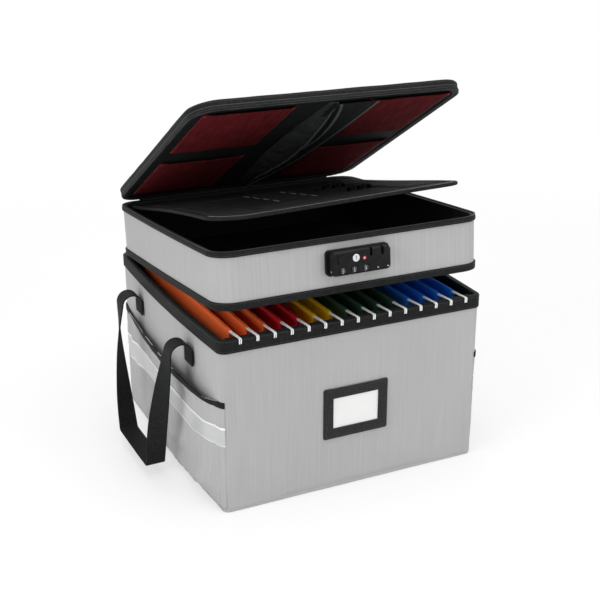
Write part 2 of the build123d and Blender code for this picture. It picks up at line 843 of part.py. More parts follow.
for name, face in (("left", -1), ("right", 1)):
    PULL = Plane(
        origin=TRAY.from_local_coords((face * slider_x, pin_y, pin_z)),
        x_dir=(0, 1, 0),
        z_dir=(1, 0, 0),
    )
    with BuildPart() as zipper_pull:
        with BuildSketch(PULL.offset(-pull_eye_w / 2)):
            Circle(pull_eye_r)
            Circle(pin_r + pull_eye_gap, mode=Mode.SUBTRACT)
        extrude(amount=pull_eye_w)
        with BuildSketch(PULL.offset(-pull_w / 2)):
            with Locations((0, -cheek_r - pull_eye_gap)):
                Rectangle(pull_t, pull_l, align=(Align.CENTER, Align.MAX))
        extrude(amount=pull_w)
        with BuildSketch(PULL.offset(-pull_eye_w / 2)):
            with Locations((0, -pin_r - pull_eye_gap)):
                Rectangle(pull_t, cheek_r, align=(Align.CENTER, Align.MAX))
        extrude(amount=pull_eye_w)
    pieces[f"zipper_pull_{name}"] = zipper_pull

# --- lid -------------------------------------------------------------------------------------------
lid_low = tray_gap
lid_top = lid_low + lid_h
lid_w = outer_w - 2 * lid_band_t
lid_d = outer_d - 2 * lid_band_t
lid_core_low = lid_low + lid_skirt
lining_low = lid_core_low - lining_t
lid_core_top = lid_top - lid_cover_t
pieces["lid_core"] = slab(LID, tray_shift, lid_w, lid_d, tray_corner_r, lid_core_low, lid_core_top)
pieces["lid_top_cover"] = slab(
    LID, tray_shift, lid_w, lid_d, tray_corner_r, lid_core_top, lid_top
)
pieces["lid_lining"] = slab(LID, tray_shift, lid_w, lid_d, tray_corner_r, lining_low, lid_core_low)
pieces["lid_side_band"] = ring(
    LID, tray_shift, outer_w, outer_d, tray_corner_r + lid_band_t, lid_band_t, lid_low, lid_top
)

lid_pocket_x = lid_w / 2 - lid_pocket_side - lid_pocket_w / 2
with BuildPart() as lid_pockets:
    with BuildSketch(LID.offset(lining_low)):
        for x in (-lid_pocket_x, lid_pocket_x):
            with Locations((x, -lid_pocket_back)):
                Rectangle(lid_pocket_w, lid_pocket_l, align=(Align.CENTER, Align.MAX))
            with Locations((x, lid_pocket_front - lid_d)):
                Rectangle(lid_pocket_w, lid_pocket_l, align=(Align.CENTER, Align.MIN))
    extrude(amount=-lid_pocket_t)
pieces["lid_pockets"] = lid_pockets


def pouch_section(u, share):
    """Corners of the pouch's cloth: held to the lid on its left, gaping along its right edge."""
    left, right, sag = pouch_left * share, pouch_right * share, pouch_sag * share
    corners = ((left, 0), (right, -sag), (right, -sag - pouch_t), (left, -pouch_t))
    return [LID.from_local_coords((x, -u, lining_low + drop)) for x, drop in corners]


pouch_ends = (pouch_back, lid_d - pouch_front)
with BuildPart() as lid_pouch:
    add(
        through(
            [
                pouch_section(pouch_ends[0], pouch_tip),
                pouch_section(sum(pouch_ends) / 2, 1),
                pouch_section(pouch_ends[1], pouch_tip),
            ]
        )
    )
pieces["lid_pouch"] = lid_pouch

# --- organizer flap --------------------------------------------------------------------------------
flap_top = flap_t / 2
with BuildPart() as organizer_panel:
    with BuildSketch(FLAP.offset(-flap_top)) as outline:
        Rectangle(flap_w, flap_l, align=(Align.CENTER, Align.MAX))
        fillet(outline.vertices().sort_by(Axis.Y)[:2], flap_corner_r)
    extrude(amount=flap_t)
pieces["organizer_panel"] = organizer_panel

with BuildPart() as organizer_binding:
    with BuildSketch(FLAP.offset(-flap_top - flap_edge_t)) as outer_edge:
        Rectangle(
            flap_w + 2 * flap_edge_t, flap_l + flap_edge_t, align=(Align.CENTER, Align.MAX)
        )
        fillet(outer_edge.vertices().sort_by(Axis.Y)[:2], flap_corner_r + flap_edge_t)
    extrude(amount=flap_t + 2 * flap_edge_t)
    with BuildSketch(FLAP.offset(-flap_top - flap_edge_t)) as inner_edge:
        Rectangle(
            flap_w - 2 * flap_edge_w, flap_l - flap_edge_w, align=(Align.CENTER, Align.MAX)
        )
        fillet(inner_edge.vertices().sort_by(Axis.Y)[:2], flap_corner_r - flap_edge_w)
    extrude(amount=flap_t + 2 * flap_edge_t, mode=Mode.SUBTRACT)
    with BuildSketch(FLAP.offset(-flap_top)) as board_edge:
        Rectangle(flap_w, flap_l, align=(Align.CENTER, Align.MAX))
        fillet(board_edge.vertices().sort_by(Axis.Y)[:2], flap_corner_r)
    extrude(amount=flap_t, mode=Mode.SUBTRACT)
pieces["organizer_binding"] = organizer_binding

with BuildPart() as card_slots:
    with BuildSketch(FLAP.offset(flap_top)):
        for u in slot_us:
            with Locations((slot_x, -u)):
                Rectangle(slot_w, slot_l)
    extrude(amount=slot_t)
pieces["card_slots"] = card_slots

with BuildPart() as organizer_pockets:
    with BuildSketch(FLAP.offset(flap_top)):
        with Locations((0, -back_pocket_u)):
            Rectangle(flap_w - 4 * flap_edge_w, back_pocket_l)
        for face in (-1, 1):
            with Locations((face * side_pocket_x, -side_pocket_u)):
                Rectangle(side_pocket_w, side_pocket_l)
        with Locations((front_pocket_x, -front_pocket_u)):
            Rectangle(front_pocket_w, front_pocket_l)
    extrude(amount=flap_pocket_t)
pieces["organizer_pockets"] = organizer_pockets

with BuildPart() as pen_loops:
    for u in loop_us:
        loop_plane = Plane(
            origin=FLAP.from_local_coords((0, loop_w / 2 - u, flap_top)),
            x_dir=(1, 0, 0),
            z_dir=-FLAP.y_dir,
        )
        with BuildSketch(loop_plane):
            for x in loop_xs:
                with Locations((x, 0)):
                    RegularPolygon(loop_r, loop_sides)
                    RegularPolygon(loop_r - loop_t, loop_sides, mode=Mode.SUBTRACT)
                    Rectangle(
                        2 * loop_r, loop_r, align=(Align.CENTER, Align.MAX), mode=Mode.SUBTRACT
                    )
        extrude(amount=loop_w)
pieces["pen_loops"] = pen_loops

ledge_back = -(band_t + wall_t + lining_t)
ledge_front = -flap_hinge_y + flap_top + flap_ledge_gap
with BuildPart() as organizer_hinge_strip:
    with BuildSketch(across(flap_strip_inset - slider_x)):
        with Locations((ledge_front, flap_hinge_z)):
            Rectangle(
                ledge_back - ledge_front, flap_ledge_t, align=(Align.MIN, Align.CENTER)
            )
        with Locations((ledge_back, flap_hinge_z + flap_ledge_t / 2)):
            Rectangle(flap_ledge_t, 3 * lining_t + flap_t, align=(Align.MAX, Align.MAX))
    extrude(amount=2 * (slider_x - flap_strip_inset))
pieces["organizer_hinge_strip"] = organizer_hinge_strip

os.makedirs("parts", exist_ok=True)
for node, piece in pieces.items():
    piece.part.label = node
    export_step(piece.part, f"parts/{node}.step")
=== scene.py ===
# %% [markdown]
# # A portable file box
# A fabric covered box holds hanging folders. A shallow tray with a combination lock is hinged to its back,
# and a padded lid is hinged to the tray. A measured frame gives every moving body its place, and this file
# dresses that frame: each cell makes one piece or one finish, and says how the real one is made.

# %% Open the measured frame
from math import cos, pi, radians, sin

import bmesh
import bpy
from mathutils import Matrix, Vector, noise


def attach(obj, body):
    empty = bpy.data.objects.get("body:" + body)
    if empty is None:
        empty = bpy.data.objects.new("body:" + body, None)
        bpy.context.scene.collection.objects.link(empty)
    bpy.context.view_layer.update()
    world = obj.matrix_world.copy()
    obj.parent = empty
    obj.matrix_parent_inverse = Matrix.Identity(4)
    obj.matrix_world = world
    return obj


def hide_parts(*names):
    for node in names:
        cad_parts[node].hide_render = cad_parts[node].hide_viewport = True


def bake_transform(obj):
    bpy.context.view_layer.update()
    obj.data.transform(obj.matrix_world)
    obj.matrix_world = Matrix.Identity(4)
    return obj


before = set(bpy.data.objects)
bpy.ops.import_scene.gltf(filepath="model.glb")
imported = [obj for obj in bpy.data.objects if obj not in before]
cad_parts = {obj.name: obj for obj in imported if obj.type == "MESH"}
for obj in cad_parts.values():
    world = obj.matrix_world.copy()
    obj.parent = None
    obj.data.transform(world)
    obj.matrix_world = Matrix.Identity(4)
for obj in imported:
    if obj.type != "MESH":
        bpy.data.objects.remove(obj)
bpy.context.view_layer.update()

# %% [markdown]
# Sizes are in metres, as the frame's are, but a maker of bags thinks in millimetres. So lengths are written
# as a number times MM. The box, the tray, the lid and the organizer flap each get a matrix that says where
# they sit: a piece is modelled flat and square, and is then carried to its place by the matrix.

# %% Sizes that several pieces share
MM = 0.001
BOX_W, BOX_D, BOX_H = 398 * MM, 404 * MM, 254 * MM
BOX_CORNER = 10 * MM
TRAY_H = 78 * MM
TRAY_CORNER = 28 * MM
WALL = 4 * MM
BAND = 2 * MM
HINGE_Y = BOX_D / 2 + BAND
TRAY_OPEN, LID_OPEN, FLAP_OPEN = radians(5.2), radians(24.8), radians(7)
LID_TURN, FLAP_TURN = TRAY_OPEN + LID_OPEN, TRAY_OPEN + FLAP_OPEN


def tilted(angle, place):
    """A frame tipped up about the X axis, with its origin at a place."""
    return Matrix.Translation(place) @ Matrix.Rotation(-angle, 4, "X")


IN_BOX = Matrix.Identity(4)
IN_TRAY = tilted(TRAY_OPEN, (0, HINGE_Y, BOX_H))
IN_LID = tilted(LID_TURN, IN_TRAY @ Vector((0, 0, TRAY_H)))
IN_FLAP = tilted(FLAP_TURN, IN_TRAY @ Vector((0, -13 * MM, TRAY_H - 7 * MM)))
MIDDLE_Y = -HINGE_Y

# %% [markdown]
# ## Finishes
# Cloth is what most of this object is, so the weave is worth a node group of its own. Warp and weft are two
# sine waves at right angles. Their product is a plain weave, and adding it for each pair of axes makes it
# work on a wall that faces any way.

# %% A small helper for shader nodes
def node(tree, kind, inputs=None, **settings):
    """Adds a shader node, sets its options, and fills or links its inputs."""
    made = tree.nodes.new(kind)
    for name, value in settings.items():
        setattr(made, name, value)
    for key, value in (inputs or {}).items():
        if isinstance(value, bpy.types.NodeSocket):
            tree.links.new(value, made.inputs[key])
        else:
            made.inputs[key].default_value = value
    return made


def math_node(tree, operation, first, second=0.0):
    """One arithmetic step."""
    return node(tree, "ShaderNodeMath", {0: first, 1: second}, operation=operation).outputs[0]


def sum_of_three(tree, pairs):
    """Multiplies three pairs of values, and adds up the products."""
    first, second, third = [math_node(tree, "MULTIPLY", a, b) for a, b in pairs]
    return math_node(tree, "ADD", first, math_node(tree, "ADD", second, third))


def group_tree(name, inputs, outputs):
    """A new node group with named sockets: inputs are name, type and default."""
    tree = bpy.data.node_groups.new(name, "ShaderNodeTree")
    for label, kind, default in inputs:
        socket = tree.interface.new_socket(label, in_out="INPUT", socket_type=kind)
        if default is not None:
            socket.default_value = default
    for label, kind in outputs:
        tree.interface.new_socket(label, in_out="OUTPUT", socket_type=kind)
    return tree, tree.nodes.new("NodeGroupInput"), tree.nodes.new("NodeGroupOutput")


# %% Plain weave group
FLOAT, VECTOR, COLOUR = "NodeSocketFloat", "NodeSocketVector", "NodeSocketColor"
weave_tree, weave_in, weave_out = group_tree(
    "plain weave",
    [("Vector", VECTOR, None), ("Pitch", FLOAT, 0.0012)],
    [("Height", FLOAT)],
)
weave_turns = math_node(weave_tree, "DIVIDE", 2 * pi, weave_in.outputs["Pitch"])
weave_scaled = node(
    weave_tree, "ShaderNodeVectorMath", {0: weave_in.outputs["Vector"], "Scale": weave_turns}, operation="SCALE"
)
weave_split = node(weave_tree, "ShaderNodeSeparateXYZ", {0: weave_scaled.outputs[0]})
waves = [math_node(weave_tree, "SINE", weave_split.outputs[axis]) for axis in range(3)]
weave_sum = sum_of_three(weave_tree, [(waves[0], waves[1]), (waves[1], waves[2]), (waves[2], waves[0])])
weave_tree.links.new(weave_sum, weave_out.inputs["Height"])

# %% [markdown]
# Dyed yarn is never one colour. Long thin flecks run along the warp, and short ones along the weft, and a
# slow cloudiness lies over both. The group gives a colour between two, from noise that is stretched by the
# grain vector: a small number in it makes the flecks long in that direction.

# %% Yarn colour group
yarn_tree, yarn_in, yarn_out = group_tree(
    "yarn colour",
    [
        ("Vector", VECTOR, None),
        ("Dark", COLOUR, (0.1, 0.1, 0.1, 1)),
        ("Light", COLOUR, (0.2, 0.2, 0.2, 1)),
        ("Grain", VECTOR, (600, 600, 14)),
        ("Cross grain", VECTOR, (30, 30, 700)),
    ],
    [("Colour", COLOUR), ("Fleck", FLOAT)],
)


def stretched_noise(tree, vector, scale, detail):
    """Noise over a vector that is multiplied by a scale first."""
    stretched = node(tree, "ShaderNodeVectorMath", {0: vector, 1: scale}, operation="MULTIPLY")
    made = node(tree, "ShaderNodeTexNoise", {"Vector": stretched.outputs[0], "Scale": 1.0, "Detail": detail})
    return made.outputs[0]


yarn_warp = stretched_noise(yarn_tree, yarn_in.outputs["Vector"], yarn_in.outputs["Grain"], 3.0)
yarn_weft = stretched_noise(yarn_tree, yarn_in.outputs["Vector"], yarn_in.outputs["Cross grain"], 2.0)
yarn_cloud = stretched_noise(yarn_tree, yarn_in.outputs["Vector"], (9, 9, 9), 2.0)
yarn_mix = sum_of_three(yarn_tree, [(yarn_warp, 0.7), (yarn_weft, 0.12), (yarn_cloud, 0.18)])
yarn_spread = node(yarn_tree, "ShaderNodeMapRange", {"Value": yarn_mix, "From Min": 0.32, "From Max": 0.68})
yarn_blend = node(
    yarn_tree, "ShaderNodeMix",
    {0: yarn_spread.outputs[0], 6: yarn_in.outputs["Dark"], 7: yarn_in.outputs["Light"]}, data_type="RGBA"
)
yarn_tree.links.new(yarn_blend.outputs[2], yarn_out.inputs["Colour"])
yarn_tree.links.new(yarn_spread.outputs[0], yarn_out.inputs["Fleck"])

# %% [markdown]
# Webbing and binding tape are woven with ribs. Each rib is one wave along a single direction. The direction is
# a vector: for a flat tape it points across the ribs.

# %% Rib group
rib_tree, rib_in, rib_out = group_tree(
    "woven ribs", [("Vector", VECTOR, None), ("Across", VECTOR, (0, 0, 1)), ("Pitch", FLOAT, 0.0016)],
    [("Height", FLOAT)]
)
rib_distance = node(
    rib_tree, "ShaderNodeVectorMath", {0: rib_in.outputs["Vector"], 1: rib_in.outputs["Across"]},
    operation="DOT_PRODUCT"
).outputs["Value"]
rib_turns = math_node(rib_tree, "DIVIDE", 2 * pi, rib_in.outputs["Pitch"])
rib_wave = math_node(rib_tree, "SINE", math_node(rib_tree, "MULTIPLY", rib_distance, rib_turns))
rib_tree.links.new(rib_wave, rib_out.inputs["Height"])


# %% Material builders
def start_material(name, roughness, turn=0.0, source="Object", **sockets):
    """A Principled material and the coordinates that its patterns read, turned about X to lie along a piece."""
    material = bpy.data.materials.new(name)
    material.use_nodes = True
    tree = material.node_tree
    shader = tree.nodes["Principled BSDF"]
    shader.inputs["Roughness"].default_value = roughness
    for label, value in sockets.items():
        shader.inputs[label.replace("_", " ")].default_value = value
    place = node(tree, "ShaderNodeTexCoord").outputs[source]
    turned = node(tree, "ShaderNodeMapping", {"Vector": place, "Rotation": (turn, 0, 0)})
    return material, tree, shader, turned.outputs[0]


def use_group(tree, group, **inputs):
    """Places a node group in a material."""
    made = node(tree, "ShaderNodeGroup", node_tree=group)
    for label, value in inputs.items():
        socket = made.inputs[label.replace("_", " ")]
        if isinstance(value, bpy.types.NodeSocket):
            tree.links.new(value, socket)
        else:
            socket.default_value = value
    return made


def add_bump(tree, shader, height, strength, distance):
    """Turns a height into a normal on the shader."""
    bump = node(tree, "ShaderNodeBump", {"Height": height, "Strength": strength, "Distance": distance})
    tree.links.new(bump.outputs[0], shader.inputs["Normal"])


# %% [markdown]
# Every cloth here is made the same way: dyed yarn gives its colour, and a weave or a row of ribs gives its
# relief. What differs is the tones, how long the flecks are, and how coarse and how deep the weave is.

# %% One builder for every cloth
def woven(name, roughness, shine, tones, grains, pitch, relief, turn=0.0, source="Object", fleck=0.0, ribs=None):
    """A cloth: tones are dark and light, grains are warp and weft, relief is a strength and a depth."""
    material, tree, shader, place = start_material(name, roughness, turn, source, Specular_IOR_Level=shine)
    dark, light = tones
    grain, cross = grains
    yarn = use_group(tree, yarn_tree, Vector=place, Dark=dark, Light=light, Grain=grain, Cross_grain=cross)
    tree.links.new(yarn.outputs["Colour"], shader.inputs["Base Color"])
    if ribs:
        height = use_group(tree, rib_tree, Vector=place, Across=ribs, Pitch=pitch).outputs["Height"]
    else:
        height = use_group(tree, weave_tree, Vector=place, Pitch=pitch).outputs["Height"]
    if fleck:
        height = math_node(tree, "ADD", height, math_node(tree, "MULTIPLY", yarn.outputs["Fleck"], fleck))
    add_bump(tree, shader, height, *relief)
    return material


# %% Grey canvas
CANVAS_TONES = (0.402, 0.402, 0.403, 1), (0.46, 0.46, 0.461, 1)
CANVAS_PITCH, CANVAS_RELIEF = 1.1 * MM, (0.35, 0.12 * MM)
UPRIGHT = (520, 520, 9), (16, 16, 620)
FLAT = (520, 9, 520), (16, 620, 620)
ALONG_THE_CUT = (520, 9, 520), (16, 620, 16)


def canvas(name, turn=0.0, grains=UPRIGHT, **settings):
    """Pale grey heathered canvas."""
    return woven(name, 0.85, 0.3, CANVAS_TONES, grains, CANVAS_PITCH, CANVAS_RELIEF, turn, **settings)


canvas_box = canvas("grey canvas", fleck=1.5)
canvas_tray = canvas("grey canvas on the tray", TRAY_OPEN, fleck=1.5)
canvas_lid = canvas("grey canvas on the lid", LID_TURN, FLAT, fleck=1.5)
pocket_canvas = canvas("grey canvas of the pockets", grains=ALONG_THE_CUT, source="UV")


# %% Black cloths
def black_cloth(name, dark, light, roughness=0.66, pitch=1.2 * MM, turn=0.0):
    """Black polyester with a visible plain weave."""
    tones = (dark + (1,), light + (1,))
    return woven(name, roughness, 0.04, tones, ((300, 300, 300), (60, 60, 60)), pitch, (0.4, 0.15 * MM), turn)


DEEP, SOOT = (0.008, 0.0082, 0.0085), (0.02, 0.0205, 0.021)
lining_box = black_cloth("black lining", DEEP, SOOT, 0.7, 0.9 * MM)
lining_tray = black_cloth("black lining of the tray", DEEP, SOOT, 0.7, 0.9 * MM, TRAY_OPEN)
lining_lid = black_cloth(
    "black lining of the lid", (0.006, 0.0065, 0.007), (0.017, 0.018, 0.019), 0.68, 1.0 * MM, LID_TURN
)
pouch_cloth = black_cloth("charcoal pouch cloth", (0.020, 0.022, 0.021), (0.042, 0.045, 0.043), turn=LID_TURN)
flap_cloth = black_cloth("charcoal flap cloth", (0.012, 0.0125, 0.013), (0.032, 0.033, 0.034), turn=FLAP_TURN)


# %% Black tapes
def binding_tape(name, turn=0.0, across=(0, 0, 1), source="Object", pitch=1.7 * MM, tones=(0.0055, 0.017)):
    """Black ribbed tape, bound over an edge."""
    dark = (tones[0], tones[0] * 1.04, tones[0] * 1.06, 1)
    light = (tones[1], tones[1] * 1.03, tones[1] * 1.05, 1)
    grains = (260, 260, 260), (40, 40, 40)
    return woven(name, 0.62, 0.1, (dark, light), grains, pitch, (0.45, 0.2 * MM), turn, source, ribs=across)


tape_box = binding_tape("black binding on the box")
tape_tray = binding_tape("black binding on the tray", TRAY_OPEN)
tape_lid = binding_tape("black binding on the lid", LID_TURN)
tape_flap = binding_tape("black binding on the flap", FLAP_TURN)
# The pouch's tape is charcoal, and its light tone is also a painted highlight along its bound edges.
pouch_tape_and_highlight = binding_tape("charcoal binding on the pouch and painted edge highlight", LID_TURN, tones=(0.05, 0.1))
webbing = binding_tape("black webbing", across=(1, 0, 0), source="UV", pitch=2.0 * MM)

# %% Dark red pocket cloth
RED_TONES = (0.056, 0.0065, 0.008, 1), (0.108, 0.0135, 0.016, 1)
RED_GRAINS = (240, 30, 240), (24, 240, 24)
red_cloth = woven(
    "dark red pocket cloth", 0.8, 0.01, RED_TONES, RED_GRAINS, 1.3 * MM, (0.3, 0.12 * MM), LID_TURN
)

# %% [markdown]
# Hard finishes get a fine mottle in their roughness, so that a highlight breaks up as it does on a moulded
# or rolled surface. One group gives that mottle, and plastic, card and metal all use it at their own scale.

# %% Surface mottle group
mottle_tree, mottle_in, mottle_out = group_tree(
    "surface mottle",
    [("Vector", VECTOR, None), ("Size", FLOAT, 0.002), ("Low", FLOAT, 0.3), ("High", FLOAT, 0.5)],
    [("Value", FLOAT), ("Height", FLOAT)],
)
mottle_noise = node(
    mottle_tree,
    "ShaderNodeTexNoise",
    {
        "Vector": mottle_in.outputs["Vector"],
        "Scale": math_node(mottle_tree, "DIVIDE", 1.0, mottle_in.outputs["Size"]),
        "Detail": 4.0,
    },
)
mottle_range = node(
    mottle_tree,
    "ShaderNodeMapRange",
    {
        "Value": mottle_noise.outputs[0],
        "From Min": 0.3,
        "From Max": 0.7,
        "To Min": mottle_in.outputs["Low"],
        "To Max": mottle_in.outputs["High"],
    },
)
mottle_tree.links.new(mottle_range.outputs[0], mottle_out.inputs["Value"])
mottle_tree.links.new(mottle_noise.outputs[0], mottle_out.inputs["Height"])


def hard_finish(name, colour, low, high, size, bump=0.1, variation=0.12, **sockets):
    """A hard surface whose roughness and tone vary a little."""
    material, tree, shader, place = start_material(name, low, **sockets)
    mottle = use_group(tree, mottle_tree, Vector=place, Size=size, Low=low, High=high)
    tree.links.new(mottle.outputs["Value"], shader.inputs["Roughness"])
    darker = tuple(c * (1 - variation) for c in colour[:3]) + (1,)
    tone = node(
        tree, "ShaderNodeMix", {0: mottle.outputs["Height"], 6: darker, 7: tuple(colour[:3]) + (1,)},
        data_type="RGBA"
    )
    tree.links.new(tone.outputs[2], shader.inputs["Base Color"])
    add_bump(tree, shader, mottle.outputs["Height"], bump, 0.05 * MM)
    return material


# %% Hard finishes
moulded_black = hard_finish(
    "moulded black plastic", (0.006, 0.0062, 0.0066), 0.3, 0.42, 0.9 * MM, 0.2, Specular_IOR_Level=0.14
)
wheel_black = hard_finish("black number wheel", (0.02, 0.02, 0.021), 0.3, 0.45, 0.8 * MM)
holder_black = hard_finish(
    "glossy black holder", (0.012, 0.0125, 0.013), 0.22, 0.36, 2 * MM, Specular_IOR_Level=0.25
)
plated_metal = hard_finish("plated metal", (0.78, 0.79, 0.8), 0.12, 0.25, 1.5 * MM, 0.05, Metallic=1.0)
rail_metal = hard_finish("black painted steel", (0.014, 0.0145, 0.015), 0.4, 0.55, 3 * MM, Specular_IOR_Level=0.25)
zipper_black = hard_finish("black coated zinc", (0.03, 0.03, 0.032), 0.25, 0.4, 1.2 * MM, Metallic=0.6)
coil_black = hard_finish("black zipper coil", (0.03, 0.031, 0.033), 0.35, 0.5, 0.6 * MM)
white_coat = hard_finish("white coated hook", (0.93, 0.93, 0.92), 0.3, 0.42, 1.5 * MM, variation=0.04)
dot_red = hard_finish("red dot", (0.62, 0.04, 0.07), 0.3, 0.4, 1 * MM)
# The same white serves the printed figures, the index dots and the painted glint on the red indicator.
white_marks_and_glint = hard_finish("white figures and painted glint", (0.8, 0.8, 0.78), 0.5, 0.6, 1 * MM)
plain_card = hard_finish("plain white card", (0.86, 0.86, 0.85), 0.6, 0.75, 0.7 * MM, 0.15, variation=0.05)
board_black = hard_finish("black board", (0.02, 0.02, 0.021), 0.7, 0.85, 1 * MM)
grey_thread = hard_finish("grey thread", (0.42, 0.425, 0.43), 0.75, 0.9, 0.4 * MM)
soft_thread = hard_finish("charcoal thread", (0.075, 0.077, 0.08), 0.75, 0.9, 0.4 * MM)
black_thread = hard_finish("black thread", (0.035, 0.036, 0.038), 0.7, 0.85, 0.4 * MM)
red_thread = hard_finish("dark red thread", (0.26, 0.045, 0.05), 0.6, 0.75, 0.4 * MM)
# The hem thread's light red is partly its own colour and partly a painted highlight along the hem's fold.
hem_thread_and_highlight = hard_finish("light red thread and painted fold highlight", (0.5, 0.16, 0.15), 0.6, 0.75, 0.4 * MM)

# %% Folder cards
FOLDER_COLOURS = {
    "orange": (0.93, 0.15, 0.032),
    "red": (0.66, 0.012, 0.026),
    "yellow": (0.90, 0.56, 0.016),
    "green": (0.034, 0.095, 0.055),
    "blue": (0.014, 0.20, 0.80),
}
folder_card = {}
for name, colour in FOLDER_COLOURS.items():
    folder_card[name] = hard_finish(
        f"{name} folder card", colour, 0.5, 0.65, 0.8 * MM, 0.2, variation=0.18, Specular_IOR_Level=0.3
    )
print("finishes", len(bpy.data.materials))

# %% [markdown]
# ## Helpers that shape and place a piece
# Every piece starts as a bmesh, Blender's mesh kit. A slab is a cube with its uprights rounded. A hoop is a
# rounded rectangle whose edge is pulled through a profile, as a tape is wrapped round a box. Both suit bags,
# where nearly everything is a board or a band.

# %% Slab and pulled sheets
def slab(width, depth, low, high, corner=0.0, middle=0.0, steps=6):
    """A board with rounded uprights."""
    mesh = bmesh.new()
    bmesh.ops.create_cube(mesh, size=1)
    bmesh.ops.scale(mesh, vec=(width, depth, high - low), verts=mesh.verts)
    if corner:
        uprights = [e for e in mesh.edges if abs(e.verts[0].co.z - e.verts[1].co.z) > (high - low) / 2]
        bmesh.ops.bevel(
            mesh, geom=uprights, offset=corner, segments=steps, profile=0.5, affect="EDGES", material=-1
        )
    bmesh.ops.translate(mesh, vec=(0, middle, (low + high) / 2), verts=mesh.verts)
    return mesh


def ends(ring):
    """The points of a row of edges."""
    return {vert for edge in ring for vert in edge.verts}


def pull_edge(mesh, ring):
    """Extrudes a row of edges and gives the new row."""
    grown = bmesh.ops.extrude_edge_only(mesh, edges=ring)["geom"]
    fresh = {v for v in grown if isinstance(v, bmesh.types.BMVert)}
    return [e for e in grown if isinstance(e, bmesh.types.BMEdge) and set(e.verts) <= fresh]


def drawn(points):
    """A mesh that holds one row of edges, and that row."""
    mesh = bmesh.new()
    line = [mesh.verts.new(point) for point in points]
    return mesh, [mesh.edges.new(pair) for pair in zip(line, line[1:])]


def pulled(points, axis, places):
    """A sheet: a row of points that is pulled to one place after another along an axis."""
    mesh, ring = drawn(points)
    for place in places:
        ring = pull_edge(mesh, ring)
        for vert in ends(ring):
            vert.co[axis] = place
    return mesh


# %% Hoop
def hoop(width, depth, corner, profile, middle=0.0, steps=8, runs=12):
    """A band round a rounded rectangle, through (outward, height) steps."""
    mesh = bmesh.new()
    bmesh.ops.create_grid(mesh, x_segments=1, y_segments=1, size=0.5)
    bmesh.ops.scale(mesh, vec=(width, depth, 1), verts=mesh.verts)
    bmesh.ops.bevel(
        mesh, geom=mesh.verts[:], offset=corner, segments=steps, profile=0.5, affect="VERTICES", material=-1
    )
    bmesh.ops.delete(mesh, geom=mesh.faces[:], context="FACES_ONLY")
    straight = [e for e in mesh.edges if e.calc_length() > width / 4]
    bmesh.ops.subdivide_edges(mesh, edges=straight, cuts=runs - 1)
    ring = mesh.edges[:]
    reach_x, reach_y = width / 2 - corner, depth / 2 - corner
    for step, (outward, height) in enumerate(profile):
        if step:
            ring = pull_edge(mesh, ring)
        for vert in ends(ring):
            x, y, _ = vert.co
            home = Vector((min(max(x, -reach_x), reach_x), min(max(y, -reach_y), reach_y), 0))
            away = (Vector((x, y, 0)) - home).normalized()
            vert.co = home + away * (corner + outward)
            vert.co.z = height
    bmesh.ops.recalc_face_normals(mesh, faces=mesh.faces)
    bmesh.ops.translate(mesh, vec=(0, middle, 0), verts=mesh.verts)
    return mesh


def rise(outward, low, high, rows):
    """Profile steps straight up."""
    return [(outward, low + (high - low) * row / rows) for row in range(rows + 1)]


def in_mm(rows):
    """Profile steps that are written in millimetres."""
    return [(out * MM, high * MM) for out, high in rows]


def share_of(value):
    """A value kept between nothing and one."""
    return min(max(value, 0.0), 1.0)


def cut(mesh, direction, places):
    """Slices a mesh at places along a direction, so that it can bend there."""
    for place in places:
        bmesh.ops.bisect_plane(
            mesh, geom=mesh.verts[:] + mesh.edges[:] + mesh.faces[:], plane_co=Vector(direction) * place,
            plane_no=direction
        )


# %% [markdown]
# Pieces also repeat along a line: stitches along a seam, teeth along a zipper. A walk steps along a row of
# points at an even spacing, and gives a matrix at each step, with X along the line and Z up.

# %% Outlines
def outline(width, depth, corner, middle=0.0, steps=8):
    """Points round a rounded rectangle."""
    points = []
    for turn, (side, end) in enumerate(((1, 1), (-1, 1), (-1, -1), (1, -1))):
        centre = Vector((side * (width / 2 - corner), middle + end * (depth / 2 - corner), 0))
        for step in range(steps + 1):
            angle = pi / 2 * (turn + step / steps)
            points.append(centre + corner * Vector((cos(angle), sin(angle), 0)))
    return points + points[:1]


# %% Walks
def walk(points, spacing, up=(0, 0, 1)):
    """Matrices at even steps along a row of points."""
    up = Vector(up)
    spots, left = [], spacing / 2
    for start, end in zip(points, points[1:]):
        run = (Vector(end) - Vector(start)).length
        if run < 1e-9:
            continue
        ahead = (Vector(end) - Vector(start)) / run
        side = up.cross(ahead)
        while left < run:
            turn = Matrix((ahead, side, up)).transposed().to_4x4()
            spots.append(Matrix.Translation(Vector(start) + ahead * left) @ turn)
            left += spacing
        left -= run
    return spots


# %% Stitches
STITCH, STITCH_GAP = 3.2 * MM, 1.3 * MM
ALONG, ACROSS = Matrix.Rotation(pi / 2, 4, "Y"), Matrix.Rotation(pi / 2, 4, "X")


def pin(mesh, radius, length, place, sides=6, tip=None):
    """Adds a short rod to a mesh."""
    bmesh.ops.create_cone(
        mesh, cap_ends=True, segments=sides, radius1=radius, radius2=tip or radius, depth=length, matrix=place
    )


def stitches(points, length=STITCH, gap=STITCH_GAP, thick=0.55 * MM, up=(0, 0, 1)):
    """A row of thread: each stitch is a short six sided pin that lies on the cloth."""
    mesh = bmesh.new()
    for spot in walk(points, length + gap, up):
        pin(mesh, thick / 2, length, spot @ Matrix.Translation((0, 0, 0.12 * MM)) @ ALONG)
    return mesh


def raised(points, height):
    """The same points at another height."""
    return [Vector((p[0], p[1], height)) for p in points]


